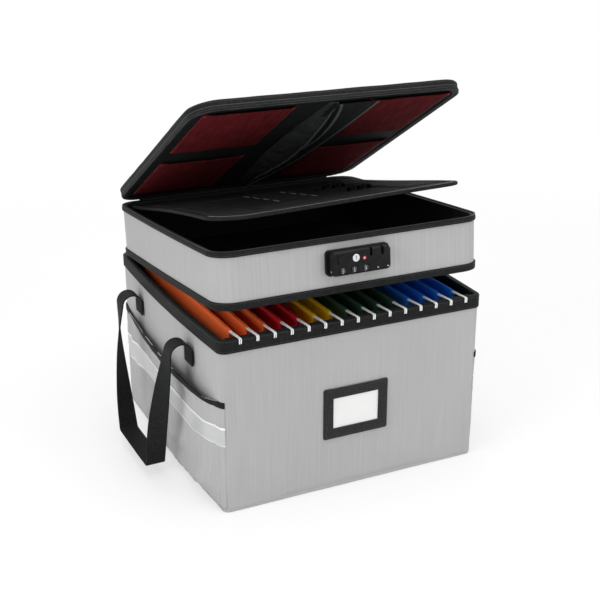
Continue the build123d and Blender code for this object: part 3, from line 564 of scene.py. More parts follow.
def stitched_round(grow, corner, heights, middle=0.0):
    """Rounds of stitches that lie on the face of a band, which stands out from the box by half of grow."""
    mesh = bmesh.new()
    for height in heights:
        points = raised(outline(BOX_W + grow, BOX_D + grow, corner, middle), height)
        for spot in walk(points, STITCH + STITCH_GAP):
            pin(mesh, 0.3 * MM, STITCH, spot @ ALONG)
    return mesh


# %% [markdown]
# Every piece is finished the same way. Its mesh is carried to its place, gets its material, and is given the
# thickness of its cloth and the soft edge of its fold as modifiers. Then it rides on the body that moves it.

# %% Finishing a piece
def finished(name, mesh, material, body, place=IN_BOX, nodes=(), thick=0.0, edge=0.0, offset=-1):
    """Places a mesh, gives it its finish and modifiers, and lets it ride on its body."""
    if place is not IN_BOX:
        mesh.transform(place)
    data = bpy.data.meshes.new(name)
    mesh.to_mesh(data)
    mesh.free()
    data.materials.append(material)
    data.shade_smooth()
    data.set_sharp_from_angle(angle=radians(40))
    piece = bpy.data.objects.new(name, data)
    bpy.context.scene.collection.objects.link(piece)
    if thick:
        wall = piece.modifiers.new("thickness", "SOLIDIFY")
        wall.thickness, wall.offset, wall.use_even_offset = thick, offset, True
    if edge:
        soften = piece.modifiers.new("soft edges", "BEVEL")
        soften.width, soften.segments, soften.limit_method = edge, 2, "ANGLE"
        soften.angle_limit, soften.harden_normals = radians(35), True
    if isinstance(body, str):
        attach(piece, body)
    if nodes:
        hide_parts(*nodes)
    return piece


# %% Joining and refining
def joined(*meshes):
    """Several meshes as one."""
    whole = meshes[0]
    for mesh in meshes[1:]:
        data = bpy.data.meshes.new("part")
        mesh.to_mesh(data)
        whole.from_mesh(data)
        mesh.free()
        bpy.data.meshes.remove(data)
    return whole


def refined(name, material, body, edge=0.3 * MM):
    """A copy of a rigid measured part with its doubled corners merged and its edges softened."""
    mesh = bmesh.new()
    mesh.from_mesh(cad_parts[name].data)
    bmesh.ops.remove_doubles(mesh, verts=mesh.verts, dist=0.01 * MM)
    bmesh.ops.dissolve_limit(mesh, angle_limit=radians(1), verts=mesh.verts, edges=mesh.edges)
    return finished(f"{name}_piece", mesh, material, body, nodes=(name,), edge=edge)


# %% Belly and ripple
BOW_FROM, BOW_FULL = 150 * MM, 40 * MM


def bow_sides(mesh, amount, low, high, middle=0.0):
    """The ends of a cloth box belly out between its corners, and less near its stiff floor."""
    for vert in mesh.verts:
        x, y, z = vert.co
        height = share_of((z - low) / (high - low))
        side = share_of((abs(x) - BOW_FROM) / BOW_FULL)
        belly = max(1 - ((y - middle) / (BOX_D / 2)) ** 2, 0.0)
        vert.co.x += amount * belly * height**0.5 * side * (1 if x > 0 else -1)


def ripple(mesh, amount, size=45 * MM, seed=0.0):
    """Moves each point along its normal by smooth noise, for cloth that never lies quite flat."""
    mesh.normal_update()
    for vert in mesh.verts:
        wave = noise.noise(vert.co / size + Vector((seed, seed * 1.7, -seed)))
        vert.co += vert.normal * wave * amount


def reshaped(piece, *steps):
    """Opens a piece's mesh again, runs each step on it, and closes it."""
    mesh = bmesh.new()
    mesh.from_mesh(piece.data)
    for step in steps:
        step(mesh)
    mesh.to_mesh(piece.data)
    mesh.free()
    piece.data.shade_smooth()


print("helpers ready")

# %% [markdown]
# ## The box
# Four boards stand inside one wrap of grey canvas. The wrap is a hoop: it turns under at the foot, has a sewn
# line just above it, and runs straight up under the black rim. Its ends belly out a little, because only the
# corners hold them. The upright corners keep a faint crease where the board behind them starts to bend.

# %% Canvas wrap of the box
BOX_BOW = 7 * MM
box_rows = [(-7 * MM, 0), (-2 * MM, 0), (-0.6 * MM, 0.5 * MM), (0, 1.9 * MM), (0, 4.2 * MM)]
box_rows += [(-0.55 * MM, 5 * MM), (0, 5.8 * MM)] + rise(0, 14 * MM, 244 * MM, 14)
box_wrap = hoop(BOX_W, BOX_D, BOX_CORNER, box_rows, runs=16)
CREASE, CREASE_HALF = 0.28 * MM, 1.6 * MM
for crease_x, crease_y in ((BOX_W / 2 - BOX_CORNER, 0), (0, BOX_D / 2 - BOX_CORNER)):
    direction = (1, 0, 0) if crease_x else (0, 1, 0)
    place = crease_x or crease_y
    cut(box_wrap, direction, (place - CREASE_HALF, CREASE_HALF - place))
box_wrap.normal_update()
for vert in box_wrap.verts:
    at_x = abs(abs(vert.co.x) - (BOX_W / 2 - BOX_CORNER)) < 0.05 * MM
    at_y = abs(abs(vert.co.y) - (BOX_D / 2 - BOX_CORNER)) < 0.05 * MM
    if (at_x or at_y) and vert.co.z > 6 * MM:
        vert.co -= vert.normal * CREASE
ripple(box_wrap, 0.35 * MM, 60 * MM, 3.0)
bow_sides(box_wrap, BOX_BOW, 0, BOX_H)
box_cover = finished(
    "box_cover", box_wrap, canvas_box, "box",
    nodes=("box_front_panel", "box_back_panel", "box_left_panel", "box_right_panel"),
    thick=2.4 * MM, edge=0.4 * MM
)
print("box cover", len(box_cover.data.polygons), "faces")

# %% [markdown]
# The floor panel closes the wrap from below, and the lining covers the inside. The lining is a hoop too, and
# one face closes its lowest row to make the floor.

# %% Floor, lining and loose base board
def cloth_cup(width, depth, corner, low, high, middle, rows=6):
    """An open topped lining: a hoop with a floor."""
    foot = [(-1.5 * MM, low), (0, low + 1.5 * MM)]
    mesh = hoop(width, depth, corner, foot + rise(0, low + 8 * MM, high, rows), middle)
    rim = [e for e in mesh.edges if e.is_boundary and all(abs(v.co.z - low) < 0.01 * MM for v in e.verts)]
    bmesh.ops.contextual_create(mesh, geom=rim)
    bmesh.ops.recalc_face_normals(mesh, faces=mesh.faces)
    return mesh


floor_panel = slab(BOX_W - 2 * WALL, BOX_D - 2 * WALL, 0, WALL, 6 * MM)
finished("box_floor", floor_panel, lining_box, "box", nodes=("box_floor_panel",), edge=0.6 * MM)
box_cup = cloth_cup(BOX_W - 2 * WALL, BOX_D - 2 * WALL, 6 * MM, WALL, 250 * MM, 0, rows=8)
bow_sides(box_cup, BOX_BOW, 0, BOX_H)
bmesh.ops.reverse_faces(box_cup, faces=box_cup.faces)
finished(
    "box_lining_cloth", box_cup, lining_box, "box", nodes=("box_lining",), thick=0.8 * MM,
    offset=1
)
refined("base_board", board_black, "box", 0.6 * MM)

# %% [markdown]
# A wide black tape is folded over the top edge and sewn through. Two rows of stitches hold it, one near the
# fold and one near its lower edge. The tape is thick, so its lower edge stands proud of the canvas.

# %% Rim band
rim_rows = [(0.1, 234), (1.6, 234.1), (2.0, 234.9), (2.0, 240), (2.1, 246), (2.0, 251.2), (1.4, 252.3)]
rim_rows += [(0.2, 252.8), (-2.5, 252.8), (-5, 252.7), (-5.8, 252.1), (-6, 251), (-6, 248), (-5.9, 244.4)]
rim_rows += [(-5.2, 244), (-4.7, 244.1)]
rim_mesh = hoop(BOX_W, BOX_D, BOX_CORNER, in_mm(rim_rows), runs=24)
ripple(rim_mesh, 0.25 * MM, 30 * MM, 8.0)
bow_sides(rim_mesh, BOX_BOW, 0, BOX_H)
rim_cover = finished("rim_tape", rim_mesh, tape_box, "box", nodes=("rim_band",))
rim_thread = stitched_round(4.1 * MM, 12 * MM, (236.6 * MM, 250.6 * MM))
bow_sides(rim_thread, BOX_BOW, 0, BOX_H)
finished("rim_stitches", rim_thread, black_thread, "box")
print("rim band", len(rim_cover.data.polygons), "faces")

# %% [markdown]
# ## Rails, rods and hanging folders
# Two rails of black painted steel are riveted inside the front and back. Each hanging folder is one folded
# card with a sleeve along either top edge, and a flat steel rod with white coated hooks runs through each.

# %% Rails and rivets
RAIL_LIP_LOW, RAIL_LIP_OUT, RAIL_LIFT = 246 * MM, 191 * MM, 2.2 * MM
rails = refined("hanging_rails", rail_metal, "box", 0.35 * MM)
for vert in rails.data.vertices:
    if vert.co.z > RAIL_LIP_LOW and abs(vert.co.y) < RAIL_LIP_OUT:
        vert.co.z += RAIL_LIFT
refined("rail_rivets", rail_metal, "box", 0.25 * MM)

# %% [markdown]
# A card that hangs from its two top edges doesn't stay flat. Each side bows away from the other just under its
# sleeve, and a papers' width stays between them. The bow is nothing at either end of the rod and grows within a
# few millimetres below the sleeve, so it is worked out for each point of an otherwise straight sheet.

# %% Folders
FOLDER_PITCH, FOLDER_TOP, ROD_OUT = 24.6 * MM, 253.4 * MM, 1.15 * MM
FOLDER_ENDS = [-185.6, -183.5, -180, -175, -169, -162, -154, -142, -120, -80, -40]
FOLDER_ENDS = [y * MM for y in FOLDER_ENDS + [0] + [-y for y in reversed(FOLDER_ENDS)]]
FOLDER_CUT, FOLDER_CUT_RUN = 150 * MM, 35.6 * MM
FOLDER_CUT_BACK, FOLDER_BOW, FOLDER_SWAY = 13 * MM, 4.6 * MM, 2.6 * MM


def folder_sheet(middle, seed):
    """One folder: its section is drawn from sleeve to sleeve, then pulled along the box."""
    side_of_sleeve = [(-0.88, 9.6), (-0.88, 0.8), (-0.4, 0.1), (0.4, 0), (0.88, 0.8), (0.88, 9), (0.3, 11)]
    leaf = [(0.4, deep) for deep in (14, 18, 24, 34, 52, 84, 130, 185, 218, 230)]
    fold = [(-0.2, 235), (-1, 236.8)]
    half_section = [(ROD_OUT + out * MM, -deep * MM) for out, deep in side_of_sleeve + leaf + fold]
    section = half_section + [(-x, z) for x, z in reversed(half_section)]
    mesh = pulled([(x, FOLDER_ENDS[0], z) for x, z in section], 1, FOLDER_ENDS[1:])
    for vert in mesh.verts:
        deep, along = -vert.co.z, abs(vert.co.y)
        side = 1 if vert.co.x > 0 else -1
        below = max(deep - 9 * MM, 0.0)
        cut_back = FOLDER_CUT_BACK * (0.5 + 0.5 * cos(pi * share_of((deep - 11 * MM) / (14 * MM))))
        if along > FOLDER_CUT:
            vert.co.y *= 1 - (along - FOLDER_CUT) / FOLDER_CUT_RUN * cut_back / along
        near_end = share_of((along - FOLDER_CUT) / FOLDER_CUT_RUN)
        bow = FOLDER_BOW * (1 - 2.718 ** (-below / (9 * MM))) * (1 - near_end**3)
        bow *= share_of((232 * MM - deep) / (90 * MM))
        sway = noise.noise(Vector((seed, vert.co.y / (120 * MM), deep / (110 * MM)))) * FOLDER_SWAY
        vert.co.x += side * bow + sway * min(below / (30 * MM), 1.0) * (1 - 0.6 * near_end)
        if deep < 11 * MM:
            vert.co.z -= 2.5 * MM * max(0.0, (along - 178 * MM) / (7.6 * MM)) ** 2
    bmesh.ops.recalc_face_normals(mesh, faces=mesh.faces)
    bmesh.ops.translate(mesh, vec=(middle, 0, FOLDER_TOP), verts=mesh.verts)
    return mesh


folder_number, rods = 0, []
for colour, count in (("orange", 3), ("red", 2), ("yellow", 2), ("green", 4), ("blue", 4)):
    sheets = [folder_sheet((folder_number + k - 7) * FOLDER_PITCH, folder_number + k + 0.5) for k in range(count)]
    folder_number += count
    finished(
        f"{colour}_folders", joined(*sheets), folder_card[colour], "box", nodes=(f"folders_{colour}",),
        thick=0.45 * MM, offset=0
    )

# %% [markdown]
# The rods are flat steel strips, coated white. A strip stands on edge and runs through its sleeve. Its front end
# hooks over the box's edge, and its back end stops inside, by the back rail. Each folder has two, side by side.

# %% Folder rods
ROD_TOP = [(0, 252.4), (120, 252.4), (172, 252.4), (190, 253), (203.5, 253.6), (205.6, 253.4), (206.4, 252.6)]
ROD_TOP += [(206.5, 250), (206.1, 246)]
ROD_FOOT = [(0, 250), (120, 250), (172, 250), (190, 251.6), (203, 252.4), (204.2, 252.2), (204.7, 251.6)]
ROD_FOOT += [(204.8, 249.6), (204.5, 246)]
BACK_END = 4  # a back end keeps this many places of the line, so it stops inside
rod_line = [[(side * y * MM, z * MM) for y, z in row] for row in (ROD_TOP, ROD_FOOT) for side in (-1, 1)]
rod_rows = list(zip(rod_line[0][::-1] + rod_line[1][1:BACK_END], rod_line[2][::-1] + rod_line[3][1:BACK_END]))
for number in range(folder_number):
    for side in (-1, 1):
        rod_mesh, before = bmesh.new(), rod_rows[0]
        x = (number - 7) * FOLDER_PITCH + side * ROD_OUT
        ring = [rod_mesh.edges.new([rod_mesh.verts.new((x, y, z)) for y, z in before])]
        for row in rod_rows[1:]:
            ring = pull_edge(rod_mesh, ring)
            for vert in ring[0].verts:
                gaps = [(vert.co.yz - Vector(place)).length for place in before]
                vert.co.yz = row[gaps.index(min(gaps))]
            before = row
        bmesh.ops.recalc_face_normals(rod_mesh, faces=rod_mesh.faces)
        rods.append(rod_mesh)
finished(
    "folder_hook_rods", joined(*rods), white_coat, "box", nodes=("folder_rods",),
    thick=1.3 * MM, edge=0.25 * MM, offset=0
)
print("folders", folder_number, "rods", len(rods))

# %% [markdown]
# ## Side pockets
# Each end of the box has a pocket: a panel of canvas sewn down along its foot and both sides, and open at the
# top. A sewn sheet with some slack wrinkles by itself, so the panel is a flat grid, shaped to the belly of the
# pocket, and then Blender's Cloth settles it with its sewn edges pinned. The flat cut is kept in the UV map.

# %% A cloth settler
def settle(piece, pinned, frames, grow, gravity, cap):
    """Runs Cloth on a piece, and keeps each point within a cap of where it started."""
    start = [vert.co.copy() for vert in piece.data.vertices]
    group = piece.vertex_groups.new(name="sewn")
    group.add(pinned, 1.0, "REPLACE")
    cloth = piece.modifiers.new("cloth", "CLOTH")
    cloth.settings.vertex_group_mass = "sewn"
    cloth.settings.quality = 6
    cloth.settings.mass = 0.25
    cloth.settings.tension_stiffness = cloth.settings.compression_stiffness = 25
    cloth.settings.bending_stiffness = 0.8
    cloth.settings.shrink_min = -grow
    cloth.settings.effector_weights.gravity = gravity
    cloth.collision_settings.use_collision = False
    cloth.point_cache.frame_end = frames
    for step in range(1, frames + 1):
        bpy.context.scene.frame_set(step)
    settled = piece.evaluated_get(bpy.context.evaluated_depsgraph_get()).data
    farthest = 0.0
    for vert, rest, found in zip(piece.data.vertices, start, settled.vertices):
        move = found.co - rest
        farthest = max(farthest, move.length)
        vert.co = rest + move * min(1.0, cap / max(move.length, 1e-9))
    piece.modifiers.remove(cloth)
    piece.vertex_groups.remove(group)
    bpy.context.scene.frame_set(1)
    print(piece.name, "moved up to", round(farthest / MM, 1), "mm")


# %% Sizes of a side pocket
POCKET_HALF, POCKET_WRAP, POCKET_LOW, POCKET_MOUTH = 192 * MM, 10.4 * MM, 6 * MM, 171 * MM
STRIP_LOW, STRIP_HIGH, BOUND_LOW = 100 * MM, 128 * MM, 160.8 * MM
BELLY, BELLY_BACK, BELLY_FRONT, BELLY_FULL = 3, 2.5, 8, 56 * MM
EDGE_RUN, MOUTH_SAG, SAG_FROM = 46 * MM, 2 * MM, 120 * MM
FRONT_DROP, DROP_FROM, DROP_RUN, DROP_LOW = 6 * MM, 110 * MM, 80 * MM, 130 * MM
OFF_WALL = 1.8 * MM


# %% Keep the flat cut
def keep_flat(mesh):
    """Writes the flat cut, as the mesh lies now, into its UV map."""
    flat = mesh.loops.layers.uv.verify()
    for face in mesh.faces:
        for loop in face.loops:
            loop[flat].uv = loop.vert.co.xy


# %% Shape the panel
def pocket_panel(side):
    """The pocket's cloth as a mesh: U and V are its flat cut, in metres."""
    mesh = bmesh.new()
    bmesh.ops.create_grid(mesh, x_segments=74, y_segments=32, size=0.5, calc_uvs=True)
    reach = POCKET_HALF + POCKET_WRAP
    bmesh.ops.scale(mesh, vec=(2 * reach, POCKET_MOUTH - POCKET_LOW, 1), verts=mesh.verts)
    bmesh.ops.translate(mesh, vec=(0, (POCKET_MOUTH + POCKET_LOW) / 2, 0), verts=mesh.verts)
    cut(mesh, (0, 1, 0), (STRIP_LOW, STRIP_HIGH, BOUND_LOW))
    for end in (-1, 1):
        cut(mesh, (1, 0, 0), [end * (POCKET_HALF + k * POCKET_WRAP / 5) for k in range(5)])
    keep_flat(mesh)
    for vert in mesh.verts:
        along, height, _ = vert.co
        foot = min((height - POCKET_LOW) / BELLY_FULL, 1.0)
        toward_front = 0.5 + 0.5 * sin(pi / 2 * min(max((20 * MM + side * along) / (130 * MM), -1.0), 1.0))
        belly = (BELLY + (BELLY_BACK + BELLY_FRONT * toward_front) * sin(foot * pi / 2)) * MM
        round_edge = (1 - (1 - share_of((POCKET_HALF - abs(along)) / EDGE_RUN)) ** 2.2) ** 0.6
        slack = max(0.0, cos(pi / 2 * along / POCKET_HALF))
        sag = MOUTH_SAG * slack * max(0.0, (height - SAG_FROM) / (51 * MM))
        bend = max(0.0, abs(along) - POCKET_HALF) / BOX_CORNER
        drop = FRONT_DROP * share_of((side * along - DROP_FROM) / DROP_RUN)
        drop *= max(0.0, (height - DROP_LOW) / (41 * MM))
        corner = BOX_CORNER + 0.6 * MM
        out = BOX_W / 2 - BOX_CORNER + corner * cos(bend) + (belly + sag) * round_edge
        y = min(abs(along), POCKET_HALF) + corner * sin(bend)
        vert.co = Vector((side * out, y * (-side if along > 0 else side), height - drop))
    bmesh.ops.recalc_face_normals(mesh, faces=mesh.faces)
    mesh.normal_update()
    if sum(face.normal.x * side for face in mesh.faces) < 0:
        bmesh.ops.reverse_faces(mesh, faces=mesh.faces)
    return mesh


def keep_off_wall(mesh, side):
    """Keeps the pocket's cloth just clear of the box's wall."""
    for vert in mesh.verts:
        if abs(vert.co.y) < POCKET_HALF:
            vert.co.x = side * max(side * vert.co.x, BOX_W / 2 + OFF_WALL)


# %% Settle both pockets
pocket_panels = {}
for side, name in ((-1, "left"), (1, "right")):
    mesh = pocket_panel(side)
    panel = finished(f"{name}_pocket", mesh, pocket_canvas, None)
    rows = [vert.co.z for vert in panel.data.vertices]
    outer = [abs(vert.co.y) for vert in panel.data.vertices]
    low, far = POCKET_LOW + 0.1 * MM, POCKET_HALF - 0.1 * MM
    held = [index for index in range(len(rows)) if rows[index] < low or outer[index] > far]
    settle(panel, held, 26, 0.022, 0.35, 5 * MM)
    reshaped(
        panel, lambda shaped: ripple(shaped, 1.1 * MM, 38 * MM, 5.0 * side),
        lambda shaped: keep_off_wall(shaped, side), lambda shaped: bow_sides(shaped, BOX_BOW, 0, BOX_H)
    )
    pocket_panels[name] = panel
print("pocket panels", {name: len(panel.data.vertices) for name, panel in pocket_panels.items()})

# %% [markdown]
# The pocket's mouth is bound in black tape, and a silver reflective strip is sewn across its face. Both are cut
# out of the panel's own surface and lifted off it, so they follow every wrinkle.

# %% Binding and reflective strip
def laid_on(panel, low, high, lift, across=1):
    """The part of a panel between two heights of its flat cut, lifted along its normals."""
    mesh = bmesh.new()
    mesh.from_mesh(panel.data)
    mesh.normal_update()
    flat = mesh.loops.layers.uv.verify()
    away = []
    for face in mesh.faces:
        height = sum(loop[flat].uv[across] for loop in face.loops) / len(face.loops)
        if not low < height < high:
            away.append(face)
    for vert in mesh.verts:
        vert.co += vert.normal * lift
    bmesh.ops.delete(mesh, geom=away, context="FACES")
    return mesh


# %% Finish of the strip
def strip_finish():
    """Silver reflective tape: fine glass bead sparkle, with a pale line near either edge."""
    material, tree, shader, place = start_material("silver reflective strip", 0.3, 0, "UV", Metallic=0.25)
    mottle = use_group(tree, mottle_tree, Vector=place, Size=0.5 * MM, Low=0.26, High=0.42)
    split = node(tree, "ShaderNodeSeparateXYZ", {0: place}).outputs[1]
    middle = math_node(tree, "SUBTRACT", split, (STRIP_LOW + STRIP_HIGH) / 2)
    from_middle = math_node(tree, "ABSOLUTE", middle)
    border = node(
        tree, "ShaderNodeMapRange", {"Value": from_middle, "From Min": 11.3 * MM, "From Max": 11.9 * MM}
    ).outputs[0]
    tone = node(
        tree, "ShaderNodeMix", {0: border, 6: (0.55, 0.555, 0.555, 1), 7: (0.88, 0.88, 0.88, 1)},
        data_type="RGBA"
    )
    tree.links.new(tone.outputs[2], shader.inputs["Base Color"])
    tree.links.new(mottle.outputs["Value"], shader.inputs["Roughness"])
    diamonds = use_group(tree, weave_tree, Vector=place, Pitch=3.4 * MM)
    add_bump(tree, shader, diamonds.outputs["Height"], 0.25, 0.1 * MM)
    return material


# %% Cut both out of the panels
panels = pocket_panels.values()
finished(
    "pocket_binding_tape", joined(*[laid_on(panel, BOUND_LOW, POCKET_MOUTH, 0.9 * MM) for panel in panels]),
    tape_box, "box", nodes=("pocket_bindings",), thick=2.6 * MM, edge=0.5 * MM
)
strip = finished(
    "reflective_tape", joined(*[laid_on(panel, STRIP_LOW, STRIP_HIGH, 0.35 * MM) for panel in panels]),
    strip_finish(), "box", nodes=("reflective_strips",), thick=0.5 * MM, offset=0
)
for name, panel in pocket_panels.items():
    lining = panel.modifiers.new("thickness", "SOLIDIFY")
    lining.thickness, lining.offset = 1.2 * MM, -1
    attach(panel, "box")
    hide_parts(f"{name}_side_pocket")
print("strips", len(strip.data.polygons), "faces")

# %% [markdown]
# ## Carrying handles
# Each handle is one length of webbing. Either end is folded and sewn flat to the box under a stitched square,
# arches over, and falls with a quarter turn to a level grip. The strap is drawn as an edge that is pulled from
# one place to the next, each with its own width direction, and is given its thickness at the end.

# %% Handle straps
WEB_W, WEB_T, HANDLE_OUT = 28 * MM, 2 * MM, 4.5 * MM
ANCHOR_Y, ANCHOR_Z = 105, 198
ARCH_X, ARCH_Z, ARCH_OUT, ARCH_UP = -217.4, 205.5, 15.2, 15
GRIP_X, GRIP_Y, GRIP_Z, GRIP_BEND = -243, -63.2, 24, 5
BEND_NEAR, BEND_HIGH, BEND_FAR, BEND_LOW = 207 * MM, 200 * MM, 267 * MM, 140 * MM


def handle_line():
    """Places in millimetres along half a left handle, each a middle and the direction of the strap's width."""
    places = []
    for height in (ANCHOR_Z, ANCHOR_Z + 4):
        places.append((Vector((ARCH_X + ARCH_OUT, -ANCHOR_Y, height)), Vector((0, 1, 0))))
    for step in range(13):
        angle = pi * step / 12
        arch = Vector((ARCH_X + ARCH_OUT * cos(angle), -ANCHOR_Y, ARCH_Z + ARCH_UP * sin(angle)))
        places.append((arch, Vector((0, 1, 0))))
    top, foot = Vector((ARCH_X - ARCH_OUT, -ANCHOR_Y, ARCH_Z)), Vector((GRIP_X, GRIP_Y, GRIP_Z))
    for step in range(1, 20):
        share = step / 20
        turn = pi / 2 * share
        middle = top.lerp(foot, share) + Vector((-4 * sin(pi * share), -6 * sin(pi * share) * (1 - share), 0))
        places.append((middle, Vector((-sin(turn), cos(turn), 0))))
    for step in range(1, 6):
        angle = pi / 2 * step / 5
        corner = Vector((GRIP_X, GRIP_Y + GRIP_BEND * (1 - cos(angle)), GRIP_Z - GRIP_BEND * sin(angle)))
        places.append((corner, Vector((-1, 0, 0))))
    for y in (-50, -40, -28, -14, 0):
        level = GRIP_Z - GRIP_BEND - 0.9 * cos(pi * y / 128)
        places.append((Vector((GRIP_X, y, level)), Vector((-1, 0, 0))))
    return places


# %% Pull a strap along its line
def strap(places, width):
    """Pulls an edge from place to place. U runs along the strap and V across it."""
    mesh = bmesh.new()
    flat = mesh.loops.layers.uv.verify()
    middle, direction = places[0]
    edges = [mesh.verts.new(middle + direction * side * width / 2) for side in (-1, 1)]
    ring, length, before = [mesh.edges.new(edges)], 0.0, places[0]
    for middle, direction in places[1:]:
        step = (middle - before[0]).length
        grown = bmesh.ops.extrude_edge_only(mesh, edges=ring)["geom"]
        fresh = [v for v in grown if isinstance(v, bmesh.types.BMVert)]
        face = next(g for g in grown if isinstance(g, bmesh.types.BMFace))
        ring = [e for e in grown if isinstance(e, bmesh.types.BMEdge) and set(e.verts) == set(fresh)]
        for vert in fresh:
            side = 1 if (vert.co - before[0]).dot(before[1]) > 0 else -1
            vert.co = middle + direction * side * width / 2
        for loop in face.loops:
            new = loop.vert in fresh
            at = middle if new else before[0]
            along = direction if new else before[1]
            loop[flat].uv = (length + (step if new else 0.0), (loop.vert.co - at).dot(along))
        length, before = length + step, (middle, direction)
    return mesh, length


# %% Both halves of both handles
half = [(point * MM, direction) for point, direction in handle_line()]
other_half = [(Vector((p.x, -p.y, p.z)), Vector((d.x, -d.y, d.z))) for p, d in half[:-1]]
turned = []
for point, direction in reversed(other_half):
    before = (turned or half)[-1][1]
    turned.append((point, -direction if direction.dot(before) < 0 else direction))
handle_places = half + turned
for name, side in (("left", 1), ("right", -1)):
    mesh, strap_length = strap(handle_places, WEB_W)
    cut(mesh, (0, 0, 1), (60 * MM,))
    bmesh.ops.translate(mesh, vec=(-HANDLE_OUT, 0, 0), verts=mesh.verts)
    if side < 0:
        bmesh.ops.scale(mesh, vec=(-1, 1, 1), verts=mesh.verts)
        bmesh.ops.reverse_faces(mesh, faces=mesh.faces)
    ripple(mesh, 0.8 * MM, 60 * MM, 11.0 * side)
    strap_piece = finished(
        f"{name}_handle_strap", mesh, webbing, None, nodes=(f"{name}_handle",),
        thick=WEB_T, edge=0.5 * MM, offset=0
    )
    start, end = (-side * BEND_NEAR, 0, BEND_HIGH), (-side * BEND_FAR, 0, BEND_LOW)
    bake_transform(strap_piece)
print("handle strap", round(strap_length / MM), "mm long")

# %% [markdown]
# A square of black tape is sewn over each strap end, with stitches round its edge and a cross in it.

# %% Anchor squares and their stitches
anchor_mesh, anchor_thread = bmesh.new(), bmesh.new()
for side in (-1, 1):
    for end in (-1, 1):
        belly = BOX_BOW * (1 - (ANCHOR_Y * MM / (BOX_D / 2)) ** 2) * (ANCHOR_Z * MM / BOX_H) ** 0.5
        out = side * (BOX_W / 2 + 3.2 * MM + belly)
        middle = Vector((out, end * ANCHOR_Y * MM, ANCHOR_Z * MM))
        patch = slab(3 * MM, WEB_W + 1 * MM, 186.5 * MM, 208.5 * MM)
        bmesh.ops.translate(patch, vec=(middle.x, middle.y, 0), verts=patch.verts)
        anchor_mesh = joined(anchor_mesh, patch)
        reach, low, high = 11 * MM, 189.5 * MM, 205.5 * MM
        front = middle.x + side * 1.5 * MM
        square = ((-1, low), (1, low), (1, high), (-1, high))
        corners = [Vector((front, middle.y + a * reach, z)) for a, z in square]
        for line in (corners + corners[:1], [corners[0], corners[2]], [corners[1], corners[3]]):
            anchor_thread = joined(anchor_thread, stitches(line, 2.2 * MM, 0.9 * MM, 0.6 * MM, (side, 0, 0)))
bmesh.ops.bevel(
    anchor_mesh, geom=anchor_mesh.edges[:], offset=0.6 * MM, segments=2, profile=0.5, affect="EDGES", material=-1
)
finished("handle_anchor_squares", anchor_mesh, tape_box, "box", nodes=("handle_anchors",))
finished("handle_anchor_stitches", anchor_thread, black_thread, "box")

# %% [markdown]
# ## Label holder
# A glossy frame is sewn to the front, and a plain card slides in behind it from the top.

# %% Holder, card and stitches
refined("label_holder", holder_black, "box", 0.35 * MM)
refined("label_card", plain_card, "label_card", 0.08 * MM)
holder_points = [
    Vector((x * MM, -BOX_D / 2 - 2.35 * MM, (116 + z) * MM))
    for x, z in ((-46.5, -34.5), (46.5, -34.5), (46.5, 34.5), (-46.5, 34.5), (-46.5, -34.5))
]
finished("holder_stitches", stitches(holder_points, 2.4 * MM, 1.4 * MM, 0.5 * MM, (0, -1, 0)), black_thread, "box")
print("box done")

# %% [markdown]
# ## The tray
# The tray is a shallow box with the same canvas outside, but with wide round corners so that a zipper can run
# round them. Everything here is modelled flat in the tray's own frame, and IN_TRAY carries it to its place.

# %% Canvas wrap of the tray
TRAY_BOW, TRAY_FOOT = 3 * MM, 0.5 * MM


def tray_belly(mesh):
    """The belly that the tray's ends share."""
    bow_sides(mesh, TRAY_BOW, -60 * MM, TRAY_H, MIDDLE_Y)
    return mesh


def band(rows, corner=TRAY_CORNER, runs=14):
    """A band round the tray or the lid, through steps in millimetres."""
    return hoop(BOX_W, BOX_D, corner, in_mm(rows), MIDDLE_Y, runs=runs)


tray_rows = [(-5 * MM, TRAY_FOOT), (-0.8 * MM, TRAY_FOOT), (0, 1.3 * MM)] + rise(0, 4 * MM, 74 * MM, 8)
tray_wrap = hoop(BOX_W, BOX_D, TRAY_CORNER, tray_rows, MIDDLE_Y, runs=14)
ripple(tray_wrap, 0.3 * MM, 60 * MM, 21.0)
finished(
    "tray_cover", tray_belly(tray_wrap), canvas_tray, "tray", IN_TRAY,
    nodes=("tray_front_wall", "tray_back_wall", "tray_left_wall", "tray_right_wall"),
    thick=2.4 * MM, edge=0.3 * MM
)

# %% Tray floor and lining
tray_floor = slab(BOX_W - 2 * WALL, BOX_D - 2 * WALL, TRAY_FOOT, 4.5 * MM, 24 * MM, MIDDLE_Y)
finished(
    "tray_floor", tray_floor, lining_tray, "tray", IN_TRAY, nodes=("tray_floor_panel",),
    edge=0.6 * MM
)
tray_cup = cloth_cup(BOX_W - 2 * WALL, BOX_D - 2 * WALL, 24 * MM, 4.5 * MM, 76.4 * MM, MIDDLE_Y)
ripple(tray_cup, 0.25 * MM, 50 * MM, 31.0)
bmesh.ops.reverse_faces(tray_cup, faces=tray_cup.faces)
finished(
    "tray_lining_cloth", tray_belly(tray_cup), lining_tray, "tray", IN_TRAY, nodes=("tray_lining",),
    thick=0.8 * MM, offset=1
)

# %% [markdown]
# A black band runs round the foot. At the top, a wider tape carries one half of the zipper: a thin tape stands
# up from it, and the coil is sewn along its edge. The coil is hundreds of small turns, so each one is only a
# six sided pin laid across the tape.

